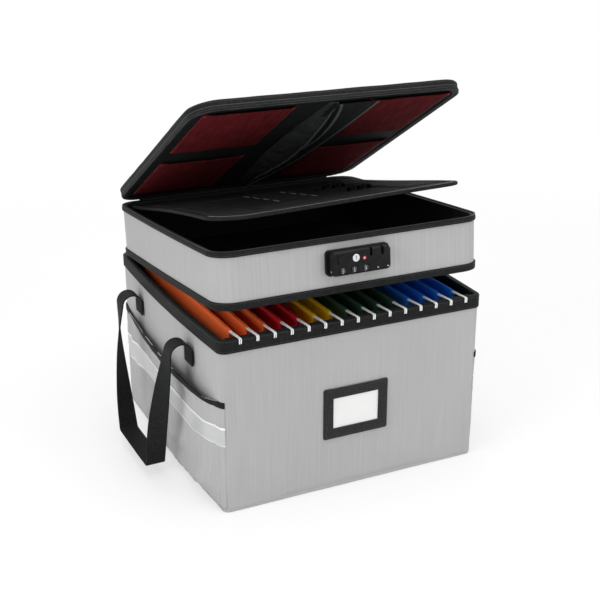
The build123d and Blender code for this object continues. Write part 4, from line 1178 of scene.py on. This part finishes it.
# %% Tray bands
foot_rows = [(-4, 0.1), (1.2, 0.1), (1.9, 0.6), (2.1, 2), (2.1, 8.6), (1.9, 10.1), (1.4, 10.5), (0.1, 10.5)]
finished(
    "tray_foot_band", tray_belly(band(foot_rows)), tape_tray, "tray", IN_TRAY, nodes=("tray_bottom_band",),
)
top_rows = [(0.1, 70), (1.5, 70), (2.0, 70.6), (2.1, 72.5), (2.0, 74.8), (1.5, 75.6), (0.4, 76.1), (-2, 76.3)]
top_rows += [(-4.7, 76.2)]
zip_rows = [(0.5, 75.9), (0.5, 76.8), (0.5, 77.6)]
inner_rows = [(-4.6, 76.4), (-5.2, 76), (-5.4, 74), (-5.3, 70), (-4.9, 69.8)]
tray_tape = finished(
    "tray_zipper_band", tray_belly(joined(band(top_rows), band(zip_rows), band(inner_rows))), tape_tray, "tray",
    IN_TRAY, nodes=("tray_zipper_tape",), thick=0.5 * MM, offset=0
)


# %% Tray zipper coil and stitches
def zipper_coil(corner, height):
    """The turns of a zipper's coil, side by side round a band."""
    mesh = bmesh.new()
    for spot in walk(raised(outline(BOX_W + 1 * MM, BOX_D + 1 * MM, corner, MIDDLE_Y), height), 1.7 * MM):
        pin(mesh, 0.55 * MM, 2.3 * MM, spot @ ACROSS)
    return mesh


coil = tray_belly(zipper_coil(TRAY_CORNER, 77.4 * MM))
finished("tray_zipper_coil", coil, coil_black, "tray", IN_TRAY)
tray_thread = stitched_round(4.3 * MM, 30 * MM, (71.8 * MM, 9.0 * MM), MIDDLE_Y)
finished("tray_stitches", tray_belly(tray_thread), black_thread, "tray", IN_TRAY)
print("tray tape", len(tray_tape.data.polygons), "faces")

# %% Hinge strips
def hinge_strip(name, low_frame, low_places, high_frame, high_places, half, node_name):
    """A strip whose rows are placed in two frames, as (y, z) steps."""
    rows = [low_frame @ Vector((0, y * MM, z * MM)) for y, z in low_places]
    rows += [high_frame @ Vector((0, y * MM, z * MM)) for y, z in high_places]
    columns = [half * (step / 6 - 1) for step in range(1, 13)]
    mesh = pulled([row + Vector((-half, 0, 0)) for row in rows], 0, columns)
    bmesh.ops.recalc_face_normals(mesh, faces=mesh.faces)
    bmesh.ops.solidify(mesh, geom=mesh.faces[:], thickness=0.6 * MM)
    strip = finished(name, mesh, tape_box, None, nodes=(node_name,))
    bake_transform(strip)


hinge_strip(
    "tray_hinge_cloth",
    IN_BOX,
    [(204.5, 236.6), (204.5, 242), (204.5, 248), (204.6, 251), (204.7, 252.5), (204.8, 253.4)],
    IN_TRAY,
    [(0.8, 0.6), (0.7, 1.6), (0.6, 3), (0.5, 6), (0.5, 9.5)],
    186 * MM,
    "tray_hinge_tape",
)
hinge_strip(
    "lid_hinge_cloth",
    IN_TRAY,
    [(0.5, 70.4), (0.5, 73), (0.5, 75.5), (0.6, 76.6), (0.7, 77.5)],
    IN_LID,
    [(0.7, 0.7), (0.6, 1.6), (0.5, 3), (0.5, 6), (0.5, 10)],
    165 * MM,
    "lid_hinge_tape",
)

# %% [markdown]
# ## Combination lock
# The lock is moulded in two steps: a foot against the cloth, and a body that holds three number wheels, a key
# cylinder, a release button and a red indicator. The measured parts are exact, so they are kept, with their
# edges softened. The figures are added: each is a text object turned into a mesh and laid on its wheel. Two
# white index dots are added too, and a small white disc on the red indicator, which is a painted glint.

# %% Lock parts
IN_LOCK = IN_TRAY @ Matrix.Translation((0, -406 * MM, 0)) @ Matrix.Rotation(pi / 2, 4, "X")
refined("lock_housing", moulded_black, "tray", 0.4 * MM)
refined("release_button", moulded_black, "release_button", 0.2 * MM)
refined("key_cylinder", plated_metal, "key_cylinder", 0.25 * MM)
refined("dial_axle", plated_metal, "tray", 0.1 * MM)
refined("lock_indicator", dot_red, "tray", 0.2 * MM)
refined("lock_backplate", rail_metal, "tray", 0.2 * MM)
refined("lock_rivets", rail_metal, "tray", 0.2 * MM)
DIAL_XS, DIAL_Y, DIAL_DEPTH, DIAL_R = (-28.5, -11.5, 5.5), 33.4, 12.3, 4.8
for name in ("left", "middle", "right"):
    refined(f"number_dial_{name}", wheel_black, f"number_dial_{name}", 0.12 * MM)


# %% Figures on the wheels
def figure_mesh(text, size):
    """A short text as a bmesh, centred, facing up."""
    curve = bpy.data.curves.new("figure", "FONT")
    curve.body, curve.size, curve.extrude = text, size, 0.06 * MM
    curve.align_x, curve.align_y = "CENTER", "CENTER"
    curve.resolution_u = 3
    letter = bpy.data.objects.new("figure", curve)
    bpy.context.scene.collection.objects.link(letter)
    mesh = bmesh.new()
    mesh.from_mesh(letter.to_mesh())
    bpy.data.objects.remove(letter)
    bpy.data.curves.remove(curve)
    return mesh


for name, dial_x in zip(("left", "middle", "right"), DIAL_XS):
    wheel = bmesh.new()
    for figure in range(10):
        digit = figure_mesh(str(figure), 3.3 * MM)
        digit.transform(
            Matrix.Translation((dial_x * MM, DIAL_Y * MM, DIAL_DEPTH * MM))
            @ Matrix.Rotation(-2 * pi * figure / 10, 4, "X")
            @ Matrix.Translation((0, 0, (DIAL_R + 0.02) * MM))
        )
        wheel = joined(wheel, digit)
    finished(f"figures_{name}", wheel, white_marks_and_glint, f"number_dial_{name}", IN_LOCK)
marks = bmesh.new()
for mark_x in (24, 39):
    pin(marks, 0.8 * MM, 0.3 * MM, Matrix.Translation((mark_x * MM, 31.5 * MM, 16 * MM)), 12)
finished("index_dots", marks, white_marks_and_glint, "tray", IN_LOCK)
# A white disc on the red indicator: a painted glint, not a part of the lock.
glint_disc = bmesh.new()
pin(glint_disc, 0.9 * MM, 0.3 * MM, Matrix.Translation((4 * MM, 47 * MM, 16.1 * MM)), 16, tip=0.8 * MM)
finished("indicator_painted_glint", glint_disc, white_marks_and_glint, "tray", IN_LOCK)

# %% Zipper sliders and pulls
refined("zipper_sliders", zipper_black, "tray", 0.3 * MM)
for name in ("left", "right"):
    refined(f"zipper_pull_{name}", zipper_black, f"zipper_pull_{name}", 0.25 * MM)
print("lock and sliders done")

# %% [markdown]
# ## The lid
# The lid is foam board in a canvas top and a black lining, bound all round by a padded black tape with a fine
# charcoal line sewn along it. Foam under cloth makes a low crown. The top is one face cut into a grid, raised in
# the middle, and lower along the binding.

# %% Crowned board
def gridded(mesh, width, low_y, high_y, pitch):
    """Cuts a board into a grid, so that it can crown or sag."""
    cut(mesh, (1, 0, 0), [pitch * k for k in range(int(-width / 2 / pitch), int(width / 2 / pitch) + 1)])
    cut(mesh, (0, 1, 0), [low_y + pitch * k for k in range(1, int((high_y - low_y) / pitch) + 1)])


def crown(mesh, amount, above):
    """Raises what is above a height, most in the middle."""
    for vert in mesh.verts:
        if vert.co.z > above:
            along = 1 - ((vert.co.y - MIDDLE_Y) / (BOX_D / 2)) ** 4
            side = 1 - (vert.co.x / (BOX_W / 2)) ** 4
            vert.co.z += amount * max(along, 0) * max(side, 0)


# %% Lid boards
LID_LINING_LOW = 2.3 * MM
LID_CORNER, LID_TOP = 34 * MM, 14.6 * MM
CORE_SHARE = 0.985  # the foam is cut a little narrower than its cover
lid_top = slab(BOX_W, BOX_D, LID_TOP - 2.4 * MM, LID_TOP, LID_CORNER, MIDDLE_Y)
gridded(lid_top, BOX_W, MIDDLE_Y - BOX_D / 2, MIDDLE_Y + BOX_D / 2, 20 * MM)
crown(lid_top, 3.5 * MM, LID_TOP - 1 * MM)
lid_cover = finished(
    "lid_cover", lid_top, canvas_lid, "lid", IN_LID, nodes=("lid_top_cover",), edge=0.5 * MM
)
lid_core = refined("lid_core", board_black, "lid", 0.5 * MM)
for vert in lid_core.data.vertices:
    inside = IN_LID.inverted() @ vert.co
    inside.z = min(inside.z, LID_TOP - 2.6 * MM)
    inside.x *= CORE_SHARE
    vert.co = IN_LID @ inside
lid_under = slab(BOX_W, BOX_D, LID_LINING_LOW, 3.1 * MM, LID_CORNER, MIDDLE_Y)
gridded(lid_under, BOX_W, MIDDLE_Y - BOX_D / 2, MIDDLE_Y + BOX_D / 2, 14 * MM)
for vert in lid_under.verts:
    if vert.co.z < 2.6 * MM:
        vert.co.z += noise.noise(vert.co / (40 * MM)) * 0.35 * MM
finished("lid_lining_cloth", lid_under, lining_lid, "lid", IN_LID, nodes=("lid_lining",))

# %% Lid binding
lid_rows = [(-7, 2.2), (-6.9, 1.3), (-6, 1.0), (-3, 0.9), (0.4, 0.5), (1.5, 0.7), (2.1, 1.6), (2.3, 3.6)]
lid_rows += [(2.1, 6.2), (1.7, 6.8), (1.7, 7.3), (2.1, 7.9), (2.3, 10.2), (2.1, 12.6), (1.6, 14.2), (0.4, 15.1)]
lid_rows += [(-3, 15.4), (-6.4, 15.4), (-7.2, 15.0), (-7.4, 14.4)]
lid_band = band(lid_rows, LID_CORNER, 18)
ripple(lid_band, 0.4 * MM, 30 * MM, 41.0)
finished("lid_binding", lid_band, tape_lid, "lid", IN_LID, nodes=("lid_side_band",))
piping = band(((1.4, 6.7), (1.9, 6.8), (1.9, 7.3), (1.4, 7.4)), LID_CORNER, 18)
finished("lid_binding_line", piping, soft_thread, "lid", IN_LID)
finished("lid_zipper_coil", zipper_coil(LID_CORNER, 0.75 * MM), coil_black, "lid", IN_LID)
lid_thread = stitched_round(4.5 * MM, 36 * MM, (3.2 * MM, 12.2 * MM), MIDDLE_Y)
finished("lid_stitches", lid_thread, black_thread, "lid", IN_LID)
print("lid done")

# %% [markdown]
# ## Pockets in the lid
# Four dark red pockets are sewn to the lining on three sides, with a folded hem at the mouth. Each is a flat
# cut that is a little larger than its place, so it bellies and wrinkles when the cloth settles.

# %% A sewn patch of cloth
def patch_panel(width, length, rows, cuts=(), lift=0.6 * MM, belly=1.6 * MM, mouth=1.0 * MM, edge=9 * MM):
    """A patch with its mouth at its far end. U and V are its flat cut, measured from its middle and its foot."""
    mesh = bmesh.new()
    columns = max(int(rows * width / length), 4)
    bmesh.ops.create_grid(mesh, x_segments=columns, y_segments=rows, size=0.5, calc_uvs=True)
    bmesh.ops.scale(mesh, vec=(width, length, 1), verts=mesh.verts)
    bmesh.ops.translate(mesh, vec=(0, length / 2, 0), verts=mesh.verts)
    cut(mesh, (0, 1, 0), cuts)
    keep_flat(mesh)
    for vert in mesh.verts:
        side = min((width / 2 - abs(vert.co.x)) / edge, 1.0)
        foot = min(vert.co.y / edge, 1.0)
        near_mouth = max(0.0, (vert.co.y - length * 0.8) / (length * 0.2))
        gape = mouth * near_mouth**2 * sin(pi * (vert.co.x / width + 0.5))
        vert.co.z = lift + belly * (1 - (1 - side) ** 2) * (1 - (1 - foot) ** 2) + gape
    return mesh


def sewn_patch(name, mesh, material, place, width, seed, node_name, settling, waves):
    """It is sewn at its sides and foot."""
    panel = finished(name, mesh, material, None, place)
    flat = panel.data.uv_layers[0].data
    held = set()
    for loop in panel.data.loops:
        u, v = flat[loop.index].uv
        if v < 0.1 * MM or abs(u) > width / 2 - 0.1 * MM:
            held.add(loop.vertex_index)
    if settling:
        settle(panel, sorted(held), settling, 0.018, 0.3, 2.5 * MM)
    reshaped(panel, lambda shaped: ripple(shaped, waves, 26 * MM, seed))
    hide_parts(node_name)
    return panel


def lined(panel, body, thick=0.8 * MM):
    """Gives a settled panel its thickness and its body."""
    layer = panel.modifiers.new("thickness", "SOLIDIFY")
    layer.thickness, layer.offset = thick, -1
    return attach(panel, body)


# %% Lid pockets
POCKET_W, POCKET_L, HEM = 130 * MM, 158 * MM, 7 * MM
UNDER_LID = Matrix.Translation((0, 0, LID_LINING_LOW)) @ Matrix.Rotation(pi, 4, "Y")
hems, hem_lines, seams = [], [], []
for row, foot in (("back", 34), ("front", 236)):
    for side, across in (("left", -118.5), ("right", 118.5)):
        place = IN_LID @ Matrix.Translation((across * MM, -foot * MM, 0)) @ Matrix.Rotation(pi, 4, "Z") @ UNDER_LID
        seed = foot / 50 + across / 70
        mesh = patch_panel(POCKET_W, POCKET_L, 30, (POCKET_L - HEM,), belly=1.1 * MM, mouth=0.3 * MM, edge=6 * MM)
        panel = sewn_patch(
            f"lid_pocket_{row}_{side}",
            mesh,
            red_cloth,
            place,
            POCKET_W,
            seed,
            "lid_pockets",
            12,
            0.7 * MM,
        )
        hems.append(laid_on(panel, POCKET_L - HEM, POCKET_L, 0.7 * MM))
        lined(panel, "lid")
        reach = POCKET_W / 2 - 1.2 * MM
        corners = ((-reach, POCKET_L - 4 * MM), (-reach, 1.2 * MM), (reach, 1.2 * MM), (reach, POCKET_L - 4 * MM))
        seam = [Vector((x, y, 0.9 * MM)) for x, y in corners]
        thread = stitches(seam, 2.6 * MM, 1.4 * MM, 0.5 * MM)
        thread.transform(place)
        seams.append(thread)
        # The stitch line across each hem is real; its light red thread, bolder than the seams, is also a painted
        # highlight along the hem's fold.
        across_hem = [Vector((x, POCKET_L - HEM - 1 * MM, 2.0 * MM)) for x in (-reach, reach)]
        hem_line = stitches(across_hem, 2.2 * MM, 1.8 * MM, 0.9 * MM)
        hem_line.transform(place)
        hem_lines.append(hem_line)
finished("lid_pocket_hems", joined(*hems), red_cloth, "lid", thick=1.4 * MM, edge=0.4 * MM)
finished("lid_pocket_stitches", joined(*seams), red_thread, "lid")
finished("lid_hem_stitches_and_highlight", joined(*hem_lines), hem_thread_and_highlight, "lid")

# %% [markdown]
# A long pouch hangs between the pockets. Its left edge is sewn to the lining, and its bound right edge gapes.
# It tapers to both ends, so its sides follow a sine, and its cloth sags most in the middle.

# %% Document pouch
POUCH_BACK, POUCH_LONG, POUCH_ROWS = 24 * MM, 372 * MM, 40
SEAM_END, SEAM_SWELL, LIP_END, LIP_SWELL, HANG = 6, 14, 4, 16, 12
BEHIND_OUT, BEHIND_RUN = 66, 110


def pouch_lines(along):
    """The pouch's seam, its lip, how far the lip hangs, and the edge of the layer behind."""
    swell = 0.04 + 0.96 * sin(pi * along)
    behind = BEHIND_OUT * (1 - 2.718 ** (-(POUCH_BACK / MM - 5 + POUCH_LONG / MM * along) / BEHIND_RUN))
    seam, lip = -(SEAM_END + SEAM_SWELL * swell) * MM, (LIP_END + LIP_SWELL * swell) * MM
    return seam, lip, HANG * swell**0.9 * MM, behind * MM


# %% Hang the pouch
BOUND_SHARE = 0.9
pouch = bmesh.new()
bmesh.ops.create_grid(pouch, x_segments=16, y_segments=60, size=0.5, calc_uvs=True)
bmesh.ops.translate(pouch, vec=(0.5, 0.5, 0), verts=pouch.verts)
cut(pouch, (1, 0, 0), (BOUND_SHARE,))
keep_flat(pouch)
pouch_held = []
for index, vert in enumerate(pouch.verts):
    across, along, _ = vert.co
    seam, lip, hang, _ = pouch_lines(along)
    drop = hang * across**1.4 + 0.3 * hang * sin(pi * across)
    vert.co = (seam + (lip - seam) * across, -POUCH_BACK - POUCH_LONG * along, 1.9 * MM - drop)
    if across < 0.001 or across > 0.999 or along < 0.001 or along > 0.999:
        pouch_held.append(index)
pouch_piece = finished("document_pouch", pouch, pouch_cloth, None, IN_LID)
settle(pouch_piece, pouch_held, 20, 0.02, 0.4, 3 * MM)
reshaped(pouch_piece, lambda shaped: ripple(shaped, 1.2 * MM, 34 * MM, 61.0))
# The pouch's binding is charcoal tape whose light tone is partly a painted edge highlight.
pouch_edge = laid_on(pouch_piece, BOUND_SHARE, 1.0, 0.5 * MM, across=0)
pouch_edge_piece = finished(
    "pouch_binding", pouch_edge, pouch_tape_and_highlight, "lid", thick=2.2 * MM, edge=0.4 * MM, offset=0
)
lined(pouch_piece, "lid", 1.0 * MM)
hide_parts("lid_pouch")

# %% [markdown]
# Behind the pouch's mouth lies a second, wider layer with a bound edge of its own, which curves out beside the
# pockets. It is a row of edges pulled sideways step by step, and the binding is a narrow tape laid on its edge.

# %% Pouch back layer
def bound_edge(places):
    """A narrow tape laid along a row of (across, along) places in millimetres on the lining."""
    edge, ring = drawn([((x - 2.2) * MM, -y * MM, height * MM) for x, y, height in places])
    for vert in ends(pull_edge(edge, ring)):
        vert.co.x += 4.4 * MM
    bmesh.ops.recalc_face_normals(edge, faces=edge.faces)
    return edge


def pouch_back_panel():
    """The layer behind the pouch: a sheet from under the pouch to the bound line beside it."""
    rows = range(POUCH_ROWS + 1)
    sheet, ring = drawn([(0, -POUCH_BACK - POUCH_LONG * row / POUCH_ROWS, -2.6 * MM) for row in rows])
    for column in range(1, 7):
        ring = pull_edge(sheet, ring)
        for vert in ends(ring):
            vert.co.x = pouch_lines(share_of((-vert.co.y - POUCH_BACK) / POUCH_LONG))[3] * column / 6
    bmesh.ops.recalc_face_normals(sheet, faces=sheet.faces)
    return sheet


finished(
    "pouch_back_panel", pouch_back_panel(), lining_lid, "lid", IN_LID, thick=0.8 * MM,
    offset=0
)
outer_line, inner_line = [], []
for step in range(POUCH_ROWS + 1):
    along = step / POUCH_ROWS
    _, lip, _, behind = pouch_lines(along)
    y = (POUCH_BACK + POUCH_LONG * along) / MM
    outer_line.append((behind / MM, y, -3.0))
    if along > 0.4:
        share = (along - 0.4) / 0.6
        x = lip / MM + 4 + 10 * sin(pi * share) ** 0.7
        inner_line.append((x, y, -3.4 - 3 * sin(pi * share)))
# These bound edges use the same charcoal tape, lightened as a painted edge highlight.
finished(
    "pouch_back_edges", joined(bound_edge(outer_line), bound_edge(inner_line)), pouch_tape_and_highlight, "lid", IN_LID,
    thick=1.6 * MM, edge=0.4 * MM, offset=0
)

# %% [markdown]
# ## Organizer flap
# A stiff cloth board is hinged inside the tray's back edge, and carries card slots, pen loops and pockets. Its
# two front corners are widely rounded. A hoop drawn round twice its length, then cut in half at the hinge line,
# gives exactly that edge.

# %% Flap board
FLAP_W, FLAP_L, FLAP_CORNER = 366 * MM, 372 * MM, 48 * MM
RIGHT_POWER, LEFT_POWER, FLARE = 3.4, 1.8, 6 * MM  # a corner of power 2 is a quarter circle


def flap_curl(mesh):
    """The flap never lies quite flat: one front corner lifts and the other sinks."""
    for vert in mesh.verts:
        across = abs(vert.co.x) - (FLAP_W / 2 - FLAP_CORNER)
        ahead = -vert.co.y - (FLAP_L - FLAP_CORNER)
        if across > 0 and ahead > 0:
            power = RIGHT_POWER if vert.co.x > 0 else LEFT_POWER
            reach = (across**2 + ahead**2) ** 0.5
            grow = ((across / reach) ** power + (ahead / reach) ** power) ** (-1 / power) - 1
            vert.co += Vector((across * grow * (1 if vert.co.x > 0 else -1), -ahead * grow, 0))
        along = max(0.0, -vert.co.y / FLAP_L)
        side = vert.co.x / (FLAP_W / 2)
        if side > 0:
            vert.co.x += FLARE * side * along**2
        vert.co.z += (3.4 * side * along**2 + 1.6 * sin(pi * along) + 0.8 * sin(2 * pi * along + 2 * side)) * MM
    return mesh


def front_half(mesh):
    """Keeps what lies in front of the hinge line."""
    bmesh.ops.bisect_plane(
        mesh, geom=mesh.verts[:] + mesh.edges[:] + mesh.faces[:], plane_co=(0, 0, 0), plane_no=(0, 1, 0),
        clear_outer=True
    )
    return mesh


flap_board = front_half(slab(FLAP_W, 2 * FLAP_L, -1.5 * MM, 1.5 * MM, FLAP_CORNER, steps=12))
bmesh.ops.holes_fill(flap_board, edges=[e for e in flap_board.edges if e.is_boundary])
gridded(flap_board, FLAP_W, -FLAP_L, 0, 18 * MM)
finished(
    "flap_board", flap_curl(flap_board), flap_cloth, "organizer", IN_FLAP, nodes=("organizer_panel",),
)

# %% Flap binding and stitches
edge_rows = [(-7, 1.4), (-6.8, 2.2), (-5, 2.5), (0, 2.4), (0.8, 1.7), (1.0, 0), (0.8, -1.7), (0, -2.4), (-5, -2.5)]
edge_rows += [(-6.8, -2.2), (-7, -1.4)]
flap_edge = front_half(hoop(FLAP_W, 2 * FLAP_L, FLAP_CORNER, in_mm(edge_rows), steps=14, runs=36))
finished(
    "flap_binding", flap_curl(flap_edge), tape_flap, "organizer", IN_FLAP, nodes=("organizer_binding",),
)
flap_line = [p for p in outline(FLAP_W - 10 * MM, 2 * FLAP_L - 10 * MM, FLAP_CORNER - 5 * MM, steps=14) if p.y < 0]
flap_thread = stitches(raised(flap_line, 2.5 * MM), 2.8 * MM, 1.4 * MM, 0.5 * MM)
finished("flap_stitches", flap_curl(flap_thread), grey_thread, "organizer", IN_FLAP)
print("flap board done")

# %% [markdown]
# Each card slot is a strip sewn at its sides and foot, with a turned hem at its mouth. Pen loops are elastic:
# short bands that rise over each pen and are sewn flat between.

# %% Card slots
SLOT_W, SLOT_L, SLOT_X = 62 * MM, 24 * MM, -22 * MM
slots, slot_threads = [], []
for middle in (152, 188, 224, 260):
    strip_mesh = slab(SLOT_W, SLOT_L, 0, 0.9 * MM, 0)
    cut(strip_mesh, (0, 1, 0), (SLOT_L / 2 - 2.5 * MM, SLOT_L / 2 - 2 * MM, 0))
    cut(strip_mesh, (1, 0, 0), (-20 * MM, -8 * MM, 8 * MM, 20 * MM))
    for vert in strip_mesh.verts:
        share = vert.co.y / SLOT_L + 0.5
        gape = sin(pi * (vert.co.x / SLOT_W + 0.5))
        hem = 0.35 * MM if vert.co.y > SLOT_L / 2 - 2.2 * MM and vert.co.z > 0.5 * MM else 0.0
        vert.co.z += 1.5 * MM + share * (0.7 + 0.9 * gape) * MM + hem
    bmesh.ops.translate(strip_mesh, vec=(SLOT_X, -middle * MM, 0), verts=strip_mesh.verts)
    slots.append(strip_mesh)
    for side in (-1, 1):
        x = SLOT_X + side * 29.6 * MM
        line = [Vector((x, (-middle - 11) * MM, 2.5 * MM)), Vector((x, (-middle + 11) * MM, 3.2 * MM))]
        slot_threads.append(stitches(line, 2.2 * MM, 1.2 * MM, 0.5 * MM))
finished(
    "card_slot_strips", flap_curl(joined(*slots)), flap_cloth, "organizer", IN_FLAP, nodes=("card_slots",),
    edge=0.25 * MM
)
finished("card_slot_stitches", flap_curl(joined(*slot_threads)), grey_thread, "organizer", IN_FLAP)

# %% Pen loops
loops = []
for middle in (165, 245):
    line = [(55.5, 1.7), (58.5, 1.8)]
    for across in (66, 82, 98):
        line += [(across + 6 * cos(pi * (1 - k / 10)), 1.8 + 6.2 * sin(pi * k / 10)) for k in range(11)]
    line += [(105.5, 1.8), (108.5, 1.7)]
    points = [(x * MM, (-middle - 8) * MM, z * MM) for x, z in line]
    elastic = pulled(points, 1, [(-middle - 8 + 4 * step) * MM for step in range(1, 5)])
    bmesh.ops.recalc_face_normals(elastic, faces=elastic.faces)
    loops.append(elastic)
finished(
    "pen_loop_bands", flap_curl(joined(*loops)), tape_flap, "organizer", IN_FLAP, nodes=("pen_loops",),
    thick=0.9 * MM, edge=0.2 * MM, offset=0
)

# %% Flap pockets
flap_hems = []
for name, width, length, across, foot in (
    ("back", 338, 112, 0, 140),
    ("left", 62, 170, -142.2, 331),
    ("right", 62, 170, 142.2, 331),
    ("front", 190, 64, -4, 350),
):
    width, length = width * MM, length * MM
    rows = max(int(length / (5 * MM)), 8)
    mesh = patch_panel(width, length, rows, (length - HEM,), 0.3 * MM, 1.1 * MM, 1.0 * MM)
    mesh.transform(Matrix.Translation((across * MM, -foot * MM, 1.5 * MM)))
    panel = sewn_patch(
        f"flap_pocket_{name}",
        flap_curl(mesh),
        flap_cloth,
        IN_FLAP,
        width,
        foot / 40,
        "organizer_pockets",
        0,
        0.5 * MM,
    )
    flap_hems.append(laid_on(panel, length - HEM, length, 0.5 * MM))
    lined(panel, "organizer", 0.7 * MM)
finished(
    "flap_pocket_hems", joined(*flap_hems), tape_flap, "organizer", thick=1.2 * MM,
    edge=0.3 * MM
)

# %% [markdown]
# The flap hangs from a strip of cloth that is sewn to the tray's lining and to the flap's back edge.

# %% Flap hinge strip
hinge_strip(
    "flap_hinge_cloth",
    IN_TRAY,
    [(-6.9, 66.4), (-7, 69), (-7.4, 71.2), (-8.6, 72.0), (-10, 72.2), (-11.5, 72.1)],
    IN_FLAP,
    [(0.4, 1.9), (-0.8, 2.4), (-3, 2.8), (-6, 2.9)],
    169 * MM,
    "organizer_hinge_strip",
)

# %% [markdown]
# ## Studio
# The object stands on a pale floor under soft daylight colours. The backdrop only looks white: the light path
# node gives the camera and mirror reflections a white that does not light the object.

# %% What the camera sees directly
def seen_directly(tree):
    """One for rays from the camera, and for those that come by way of a mirror or a clear part."""
    path = node(tree, "ShaderNodeLightPath")
    by_way = math_node(tree, "MAXIMUM", path.outputs["Is Glossy Ray"], path.outputs["Is Transmission Ray"])
    return math_node(tree, "MAXIMUM", path.outputs["Is Camera Ray"], by_way)


# %% Floor
floor_mesh = bmesh.new()
bmesh.ops.create_grid(floor_mesh, x_segments=1, y_segments=1, size=6)
floor_data = bpy.data.meshes.new("studio_floor")
floor_mesh.to_mesh(floor_data)
floor_mesh.free()
floor = bpy.data.objects.new("studio_floor", floor_data)
bpy.context.scene.collection.objects.link(floor)
floor.location.z = -0.4 * MM
floor_material = bpy.data.materials.new("pale floor")
floor_material.use_nodes = True
floor_tree = floor_material.node_tree
floor_shader = floor_tree.nodes["Principled BSDF"]
floor_shader.inputs["Base Color"].default_value = (0.9, 0.9, 0.9, 1)
floor_shader.inputs["Roughness"].default_value = 0.9
floor_glow = node(floor_tree, "ShaderNodeEmission", {"Color": (1, 1, 1, 1), "Strength": 1.0})
floor_seen = seen_directly(floor_tree)
floor_place = node(floor_tree, "ShaderNodeTexCoord").outputs["Object"]
floor_far = node(floor_tree, "ShaderNodeVectorMath", {0: floor_place}, operation="LENGTH").outputs["Value"]
fade_range = {"Value": floor_far, "From Min": 0.5, "From Max": 1.6, "To Min": 0.6, "To Max": 1.0}
floor_fade = node(floor_tree, "ShaderNodeMapRange", fade_range).outputs[0]
floor_white = math_node(floor_tree, "MULTIPLY", floor_seen, floor_fade)
floor_mix = node(
    floor_tree, "ShaderNodeMixShader", {0: floor_white, 1: floor_shader.outputs[0], 2: floor_glow.outputs[0]}
)
floor_tree.links.new(floor_mix.outputs[0], floor_tree.nodes["Material Output"].inputs["Surface"])
floor_data.materials.append(floor_material)

# %% World
world = bpy.data.worlds.new("studio")
bpy.context.scene.world = world
world.use_nodes = True
world_tree = world.node_tree
world_light = world_tree.nodes["Background"]
world_light.inputs["Color"].default_value = (0.99, 0.99, 1.0, 1)
world_light.inputs["Strength"].default_value = 0.45
world_white = node(world_tree, "ShaderNodeBackground", {"Color": (1, 1, 1, 1), "Strength": 1.0})
world_mix = node(
    world_tree, "ShaderNodeMixShader",
    {0: seen_directly(world_tree), 1: world_light.outputs[0], 2: world_white.outputs[0]}
)
world_tree.links.new(world_mix.outputs[0], world_tree.nodes["World Output"].inputs["Surface"])


# %% Lamps
def lamp(name, place, aim, size, power):
    """A soft square lamp that points at a place."""
    light = bpy.data.lights.new(name, "AREA")
    light.shape, light.size, light.energy = "SQUARE", size, power
    made = bpy.data.objects.new(name, light)
    bpy.context.scene.collection.objects.link(made)
    made.location = place
    made.rotation_euler = (Vector(aim) - Vector(place)).to_track_quat("-Z", "Y").to_euler()
    return made


lamp("overhead lamp", (0.1, -0.3, 2.2), (0, 0, 0.3), 1.8, 26)
lamp("front right lamp", (1.3, -2.0, 1.1), (0, 0, 0.25), 1.4, 16)
lamp("left lamp", (-2.0, -0.6, 1.2), (-0.2, 0, 0.2), 1.4, 20)
lamp("back lamp", (0.4, 1.8, 1.6), (0, 0, 0.4), 1.2, 10)

# %% Camera
bpy.context.scene.view_settings.view_transform = "Standard"
camera_data = bpy.data.cameras.new("camera")
camera_data.sensor_width = 36
camera_data.lens = 68.0
camera = bpy.data.objects.new("camera", camera_data)
bpy.context.scene.collection.objects.link(camera)
camera.location = (-0.6887, -1.4448, 0.8131)
camera.rotation_euler = (pi / 2 - radians(20.7), 0, radians(-25.89))
bpy.context.scene.camera = camera
